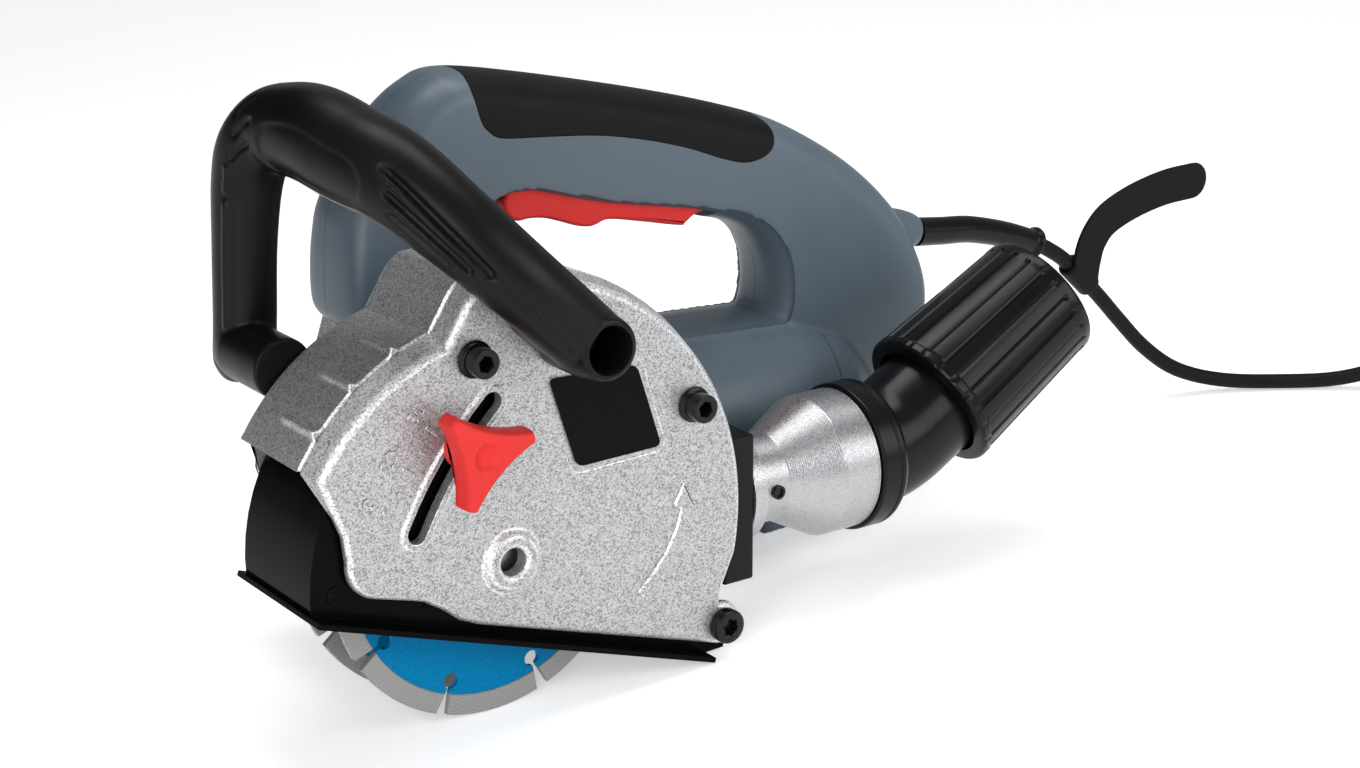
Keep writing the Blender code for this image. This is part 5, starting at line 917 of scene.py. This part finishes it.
makeGuard()
makeKnob()
print("guard and knob made")


# Diamond blades: a painted core with keyhole slots and thicker rim segments
blade = {"radius": 62.5, "core": 54.7, "slots": 9, "slotTurn": 11.5, "slotHalf": 0.8, "slotIn": 48.3, "gullet": 3,
         "rimHalf": (1, 2.4), "segment": 0.28}


def bladeOutline(reach):
    line, half = [], blade["rimHalf"][1]
    opening = asin(blade["slotHalf"] / blade["gullet"])
    for i in range(blade["slots"]):
        turn = radians(i * 360 / blade["slots"] + blade["slotTurn"])
        out, side = axesAt(turn)
        corner = out * sqrt(reach**2 - half**2)
        neck = out * (blade["core"] - 1)
        line += [corner - side * half, neck - side * blade["slotHalf"]]
        centre = out * (blade["slotIn"] + 1.5)
        for t in between(-opening, opening - 2 * pi, 12):
            line.append(centre + blade["gullet"] * (out * cos(t) + side * sin(t)))
        line += [neck + side * blade["slotHalf"], corner + side * half]
        edge = degrees(asin(half / reach))
        start = degrees(turn) + edge
        line += [Vector(p) for p in arcLine((0, 0), reach, start, start + 360 / blade["slots"] - 2 * edge, 14)[1:-1]]
    return line


def rimSegment(first, low, high):
    last, radii = first + 360 / blade["slots"], (blade["core"], blade["radius"])
    inner, outer = (degrees(half / radius) for half, radius in zip(blade["rimHalf"], radii))
    ring = arcLine((0, 0), blade["core"], first + inner, last - inner, 14)
    ring += arcLine((0, 0), blade["radius"], last - outer, first + outer, 14)
    return skin(stacked(ring, ((0.3, low), (0, low + 0.3), (0, high - 0.3), (0.3, high))))


def makeBlades():
    for node, name in (("blade_near", "nearBlade"), ("blade_far", "farBlade")):
        low, high = ((corner[1] - pivotPoint.y) * 1000 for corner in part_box(node))
        shape = skin(stacked(bladeOutline(blade["radius"] - 0.2), ((0, low + 0.1), (0, high - 0.1))))
        low, high = low - blade["segment"], high + blade["segment"]
        starts = [i * 360 / blade["slots"] + blade["slotTurn"] for i in range(blade["slots"])]
        joined(shape, [rimSegment(first, low, high) for first in starts])
        make(name, shape, spindleFrame, "blade", node, body="spindle_set", angle=30)


makeBlades()
print("blades made")


# Front loop handle: one moulding with a rib on the leg, a panel on the grip and flutes towards its near end
loopHandle = {
    # x, y, z and radius
    "line": ((-170.6, 92, 49.4, 4.6), (-171.3, 92, 51, 8.4), (-172.3, 92, 54.2, 10.5),
             (-173.6, 92, 58.5, 11.2), (-176.4, 92, 70, 11.4), (-183.6, 92, 96, 11.6),
             (-189, 91.2, 118, 12.6), (-191, 87.8, 130.5, 13.8), (-189.8, 80, 139.2, 15.2),
             (-187.6, 68, 142, 16.6), (-185.6, 56, 142.4, 17.3), (-182, 40, 140.2, 17.3),
             (-175, 18, 136.5, 16.4), (-160, -2, 126.5, 14.6), (-140, -13.6, 115, 13.6),
             (-120, -16.6, 105.2, 13.2), (-106, -16.6, 98.6, 13)),
    "facing": (-0.62, -0.77, 0.12), "end": (-106, 98.6), "foot": (-120.7, 104.9), "boss": (-175.5, 60),
    "endProfile": ((0, -29.2), (10.9, -29.2), (12.7, -19), (12.8, -0.4), (0, -0.4)),
    "mouth": ((0, -60), (8.9, -60), (8.9, -29), (8.2, -27.6), (8.2, -7), (0, -7)),
    "stub": ((0, 58.6), (11.3, 58.6), (11.3, 88), (10.4, 93), (7.6, 97), (3.6, 98.8), (0, 99)),
    # start, end (points of the line), angle and half width at both in degrees, depth in millimetres
    "grooves": ((4, 5.72, -27, -25, 7, 7, -0.9), (6, 6.6, -24, -22, 7, 7, -0.9),
                (7.8, 8.3, -42, -36, 6, 6, 1.5), (7.5, 8.4, -22, -3, 6, 6, 1.5), (6.95, 8.2, -15, 18, 6, 6, 1.5),
                (9.2, 11.5, 40, 42, 36, 36, 0.6),
                (12.12, 13.6, 0, 20, 7, 9, 2.2), (12.28, 13.42, 24, 38, 7, 8, 2.2),
                (12.42, 13.2, 46, 54, 6, 7, 1.8), (13.85, 15.2, 22, 30, 5, 5, 1.1)),
    "wall": 4, "spanTurn": 80, "melt": (0.7, 2), "footHalf": 11.4, "footY": (-16.6, -0.4), "screwY": (-7.3, 94.5),
    "well": ((0, 94.2), (7.2, 94.2), (7.2, 125), (0, 125)),
}


def handleCarve(at, turn):  # how far the surface is sunk, or raised, at a point of the line and an angle
    sunk = 0
    for start, end, firstTurn, lastTurn, firstHalf, lastHalf, depth in loopHandle["grooves"]:
        share = min(max((at - start) / (end - start), 0), 1)
        middle = radians(firstTurn + (lastTurn - firstTurn) * share)
        half = firstHalf + (lastHalf - firstHalf) * share
        aside = degrees(remainder(turn - middle, 2 * pi))
        beyond = max(start - at, at - end, 0) * loopHandle["spanTurn"]
        sunk += depth * eased((half - hypot(aside, beyond)) / loopHandle["wall"])
    return sunk


def fused(shapes, voxel, smooth):  # several closed shapes melted into one moulding
    holder = linked("helper", asMesh(joined(bmesh.new(), shapes), "moulding"))
    melt = holder.modifiers.new("melt", "REMESH")
    melt.mode, melt.voxel_size = "VOXEL", voxel
    relax = holder.modifiers.new("relax", "SMOOTH")
    relax.factor, relax.iterations = 0.5, smooth
    return evaluated(holder)


def makeLoopHandle():
    line = throughPoints(loopHandle["line"], 16)
    points = len(loopHandle["line"]) - 1
    tube = swept([point[:3] for point in line], [point[3] for point in line], 180, Vector(loopHandle["facing"]),
                 lambda share, turn: handleCarve(share * points, turn))
    near, foot, far = loopHandle["end"], loopHandle["foot"], loopHandle["boss"]

    def lathe(at, key, radius, sides):
        return acrossAt(*at, turned(loopHandle[key], sides, radius))

    half = loopHandle["footHalf"]
    sole = arcLine(foot, half, 67, 247, 20) + arcLine(near, half, 247, 427, 20)
    heel = plate(sole, [(0, y) for y in loopHandle["footY"]])
    mesh = fused([tube, lathe(near, "endProfile", 1.6, 72), heel, lathe(far, "stub", 1, 60)], *loopHandle["melt"])
    mesh = combined(mesh, plainMesh(lathe(near, "mouth", 0.6, 64)))
    mesh = combined(mesh, plainMesh(lathe(far, "well", 0, 48)))
    mesh.transform(machine)
    addPiece("frontHandle", mesh, "black", "front_handle", angle=50)
    nearY, farY = loopHandle["screwY"]
    makeScrew("frontHandleScrew", "front_handle_screw", *near, "handle", 1, nearY)
    makeScrew("frontHandleFarScrew", "front_handle_far_screw", *far, "handle", -1, farY)


makeLoopHandle()
print("front handle made")


# D-handle: two shells with the rear of the motor, a rubber pad let into the top, and the paddle trigger
dHandle = {
    "outer": ((-124, 71.6), (-132, 72.4), (-136.6, 77.2), (-141.4, 91), (-144.8, 104), (-145.8, 115),
              (-141.6, 135), (-134.4, 153.2), (-124.4, 166.4), (-112, 174.2), (-79, 179.2), (-22.3, 184.4),
              (20, 186.4), (48.5, 185.2), (84, 177.2), (112.5, 164.8), (131.8, 149.8), (143.6, 134.4),
              (148.4, 116.5), (146.4, 101), (141.4, 90.4), (132.6, 84)),
    "inner": ((120, 79.5), (96, 72.5), (72, 66), (63.5, 100), (61, 118), (53, 132), (36, 140.6),
              (7, 139.8), (-37, 134.6), (-68, 133.4), (-82, 129), (-90, 119), (-93, 104),
              (-95, 80), (-98, 72.8), (-111, 71.6)),
    "halfWidth": 20, "rounding": 13, "noseRounding": 8, "power": 2.4, "melt": (1.15, 8), "parting": 0.12,
    "pad": ((-111.6, 205), (-110.6, 186), (-110.2, 175.4), (-110.2, 171), (-108.4, 166.2), (-103.2, 158.6),
            (-99, 155.7), (-92.6, 154.5), (-76.2, 158.2), (-51.7, 163.6), (-29, 166.4), (-6.7, 167.2),
            (9.6, 166.4), (22.1, 166.8), (30.1, 170), (34.2, 174.4), (34.6, 179.5), (32.9, 183.4), (28.1, 186.7),
            (22, 190), (16, 205)), "padThick": 3, "gap": 0.4,
    "barrel": ((0, 131), (45.5, 131), (45, 191), (39, 218), (23, 236), (0, 236)),
    "hollow": ((0, 120), (42, 120), (42, 205), (12, 214), (12, 226), (0, 226)),
    "restFoot": {"x": (84, 106), "half": 22, "top": 13},
    "triggerTop": ((-78, 141), (-40, 146.5), (12, 148)),
    "triggerBelly": ((12.6, 144), (8.6, 141.4), (5.4, 137.6), (2.8, 136.1), (-15.8, 134.4), (-31.4, 132.6),
                     (-36.7, 129.6), (-40.1, 128.1), (-46, 127.5), (-53.7, 127.8), (-61.1, 127.8), (-68.2, 126.4),
                     (-73, 124.6), (-78, 125.6), (-81.2, 129.6), (-81.6, 134)),
    "lip": ((-85, 129.8), (-80, 134.2), (-74, 136.6), (-68, 137.7), (-37, 138.9), (7, 144.1),
            (9.2, 144.3)),
    "triggerHalf": 15.6, "slots": (((-85, 9.2), (96, 141)), ((-85, 19), (140.5, 153.2))),
    "vents": (176, 183, 190, 197), "ventHalf": 13, "ventWidth": 2.6, "ventAcross": ((38, 60), (-60, -38)),
    "noseTop": 116, "noseBlend": 30, "noseFrom": -80,
}


def gripShape(shrink=0):
    outline = throughPoints(dHandle["outer"], 5) + throughPoints(dHandle["inner"], 5)
    inward = [moved - Vector(point) for moved, point in zip(inset(outline, 1), outline)]
    plain, change = dHandle["rounding"], dHandle["noseRounding"] - dHandle["rounding"]
    top, blend = dHandle["noseTop"], dHandle["noseBlend"]  # the nose's foot is squarer
    roundings = [plain + change * (eased((top - z) / blend) if x < dHandle["noseFrom"] else 0) for x, z in outline]
    loops, rows = [], 16
    half, power = dHandle["halfWidth"] - shrink, dHandle["power"]
    for i in range(-rows, rows + 1):
        out = sin(radians(90 * i / rows))
        give = 1 - max(1 - abs(out) ** power, 0) ** (1 / power)
        line = [Vector(point) + step * (shrink + give * rounding)
                for point, step, rounding in zip(outline, inward, roundings)]
        loops.append([(p.x, motorWidth + out * half, p.y) for p in smoothLoop(line, 3)])
    return skin(loops)


def inMachine(shape, place):  # from another frame into the machine's millimetres
    shape.transform(machine.inverted() @ place)
    return shape


def sideCut(outline, reach=60):  # a side outline as a solid across the whole handle
    return plainMesh(plate(outline, ((0, motorWidth - reach), (0, motorWidth + reach))))


def makeDHandle():
    barrel = inMachine(turned(dHandle["barrel"], 96, 4), motorFrame)
    foot = dHandle["restFoot"]
    (x0, x1), half = foot["x"], foot["half"]
    sole = roundCorners([(x0, -half), (x1, -half), (x1, half), (x0, half)], 3)
    stand = skin([[(x, motorWidth + y, z) for x, y in sole] for z in (0, foot["top"])])
    body = fused([gripShape(), barrel, inMachine(stand, floorUnderPivot)], *dHandle["melt"])
    cuts = [plainMesh(inMachine(turned(dHandle["hollow"], 64), motorFrame))]
    half = dHandle["triggerHalf"] + dHandle["gap"]
    cuts += [plainMesh(block(x, (motorWidth - half, motorWidth + half), z)) for x, z in dHandle["slots"]]
    lip = throughPoints(dHandle["lip"], 6)
    cuts.append(sideCut([(lip[0].x, 96), *lip, (lip[-1].x, 96)]))
    half, width = dHandle["ventHalf"], dHandle["ventWidth"]
    for along in dHandle["vents"]:
        for across in dHandle["ventAcross"]:
            cuts.append(plainMesh(inMachine(block((-half, half), across, (along, along + width)), motorFrame)))
    for tool in cuts:
        body = combined(body, tool)
    padLine = throughPoints(dHandle["pad"], 4)
    pad = combined(body.copy(), sideCut(padLine), "INTERSECT")
    pad = combined(pad, plainMesh(gripShape(dHandle["padThick"])))
    under = plainMesh(gripShape(dHandle["padThick"] + dHandle["gap"]))
    body = combined(body, combined(sideCut(inset(padLine, -dHandle["gap"])), under))
    for name, node, side in (("handleShellNear", "handle_shell_near", -1), ("handleShellFar", "handle_shell_far", 1)):
        keep = sorted((motorWidth + side * dHandle["parting"], motorWidth + side * 90))
        shell = combined(body.copy(), plainMesh(block((-300, 300), keep, (-300, 400))), "INTERSECT")
        shell.transform(machine)
        addPiece(name, shell, "slate", node, angle=50)
    pad.transform(machine)
    addPiece("gripPad", pad, "rubber", "grip_pad", angle=50)
    outline = throughPoints(dHandle["triggerTop"], 6) + throughPoints(dHandle["triggerBelly"], 4)
    paddle = plate(outline, softLevels(*(motorWidth + side * dHandle["triggerHalf"] for side in (-1, 1)), 1.8))
    make("paddleTrigger", paddle, machine, "red", "trigger", body="paddle_trigger", angle=45)


makeDHandle()
print("D-handle made")


# Motor housing and gear case
motor = {"housing": ((42, 48), (44.4, 48), (45, 48.8), (45, 55), (44.1, 55.4), (44.1, 56.5), (45, 56.9),
                     (45, 129.9), (44.5, 130.6), (42, 130.6))}


def makeMotor():
    housing = turned(motor["housing"], 112, 0.4, True)
    make("motorHousing", housing, motorFrame, "slate", "motor_housing", angle=50)
    dressed("gear_case", 1.4, "casting", angle=30)
    dressed("spindle_lock_button", 0.6, "black", "spindle_lock")


makeMotor()
print("motor housing made")


# Dust outlet: port plate, turned adapter, elbow and ribbed sleeve
dust = {
    "adapter": ((14.2, -17.4), (22, -17.4), (22, -11.4), (17.6, -11.4), (17.6, 2.4), (28, 22.4), (28, 39),
                (24, 39), (24, 47), (21, 47), (21, 24), (14.2, 6)),
    "screwAt": -4, "bend": 30, "corner": 62, "tangent": 12, "tube": 23.5, "elbowFoot": (44, 47),
    "elbowArm": (20, 27, 42.8),
    "grub": ((0, 14.5), (2.8, 14.5), (2.8, 19.2), (1.7, 19.2), (1.5, 18), (0, 18)),
    "collar": ((23, 39.4), (29, 39.4), (29.6, 40.2), (29.6, 47.6), (29.1, 47.9), (29.1, 48.5), (29.6, 48.8),
               (29.6, 50.4), (28.4, 52.2), (24.6, 54.2), (23, 54.2)),
    "ribs": 24, "ribSteps": 12, "grooveHalf": 0.14,
    # height along the sleeve, radius, depth of the grooves between the ribs
    "sleeve": ((27.4, 25.2, 0), (27.4, 29.4, 0), (27.9, 30.4, 0.1), (28.9, 31, 0.3), (31.4, 31, 0.35),
               (32.2, 30.5, 0.5), (33.4, 30.6, 1), (60, 29.3, 1), (90, 27.9, 1), (91.6, 27.8, 0.7),
               (92.6, 28, 0.1), (95.4, 27.8, 0), (96.6, 27.1, 0), (97, 26.2, 0), (97, 24.6, 0), (96.2, 23.6, 0),
               (60, 23.2, 0), (43.6, 23.2, 0), (43.6, 23.9, 0), (30.4, 23.9, 0)),
}


def makeDustOutlet():
    dressed("dust_port", 1.2, "black")
    adapter = turned([*dust["adapter"], dust["adapter"][0]], 112, 0.45, True)
    make("hoseAdapter", adapter, portFrame, "turnedAluminium", "hose_adapter", angle=20)
    place = portFrame @ Matrix.Translation((0, 0, dust["screwAt"])) @ Matrix.Rotation(pi / 2, 4, "X")
    make("adapterSetScrew", turned(dust["grub"], 36, 0.3), place, "oxide", "adapter_set_screw")
    bend = radians(dust["bend"])
    arc = dust["tangent"] / tan(bend / 2)
    start = dust["corner"] - dust["tangent"]
    line = [(0, 0, height) for height in dust["elbowFoot"]]
    line += [(arc * cos(t) - arc, 0, start + arc * sin(t)) for t in between(0, bend, 14)]
    line += [(-sin(bend) * far, 0, dust["corner"] + cos(bend) * far) for far in dust["elbowArm"]]
    collar = turned([*dust["collar"], dust["collar"][0]], 96, 0.5, True)
    elbow = joined(swept(line, [dust["tube"]] * len(line), 80), [collar])
    make("dustElbow", elbow, portFrame, "gloss", "dust_elbow", body="elbow", angle=40, slot="black_plastic")
    steps = dust["ribSteps"]
    count = dust["ribs"] * steps
    grooves = [min(1, max(0, 1 - abs((i % steps) / steps - 0.5) / dust["grooveHalf"]) * 1.6) for i in range(count)]
    loops = []
    for height, radius, depth in dust["sleeve"]:
        reaches = [radius - depth * groove for groove in grooves]
        turns = between(0, 2 * pi, count)
        loops.append([(r * cos(t), r * sin(t), height) for r, t in zip(reaches, turns)])
    make("hoseSleeve", skin(loops, True), sleeveFrame, "gloss", "hose_sleeve", body="sleeve", angle=28)


makeDustOutlet()
print("dust outlet made")


# Cord bush, and a finish for every inner piece that keeps its own solid
bush = {"from": (163, 116), "to": (184.5, 109.4),
        "profile": ((0, 0), (8.6, 0), (8.6, 12), (8, 18), (6.6, 22.2), (0, 22.4))}
innerFinishes = {"field_coil": "copper", "commutator": "copper", "brush_holder": "copper", "carbon_brush": "rubber",
                 "switch": "black", "cooling_fan": "black", "stator_core": "stamping", "armature_core": "stamping"}


def makeBush():
    (x0, z0), (x1, z1) = bush["from"], bush["to"]
    start, end = Vector((x0, motorWidth, z0)), Vector((x1, motorWidth, z1))
    make("cordBush", turned(bush["profile"], 56, 1.2), lyingAt(start, end - start), "slate", "cord_bush")


def finishInside():
    for name, node in frame["nodes"].items():
        if name in replacedNodes:
            continue
        key = next((finish for start, finish in innerFinishes.items() if name.startswith(start)), "steel")
        node.data.materials.clear()
        node.data.materials.append(finishes[key])


makeBush()
finishInside()
print("inner pieces finished:", len(frame["nodes"]) - len(replacedNodes))
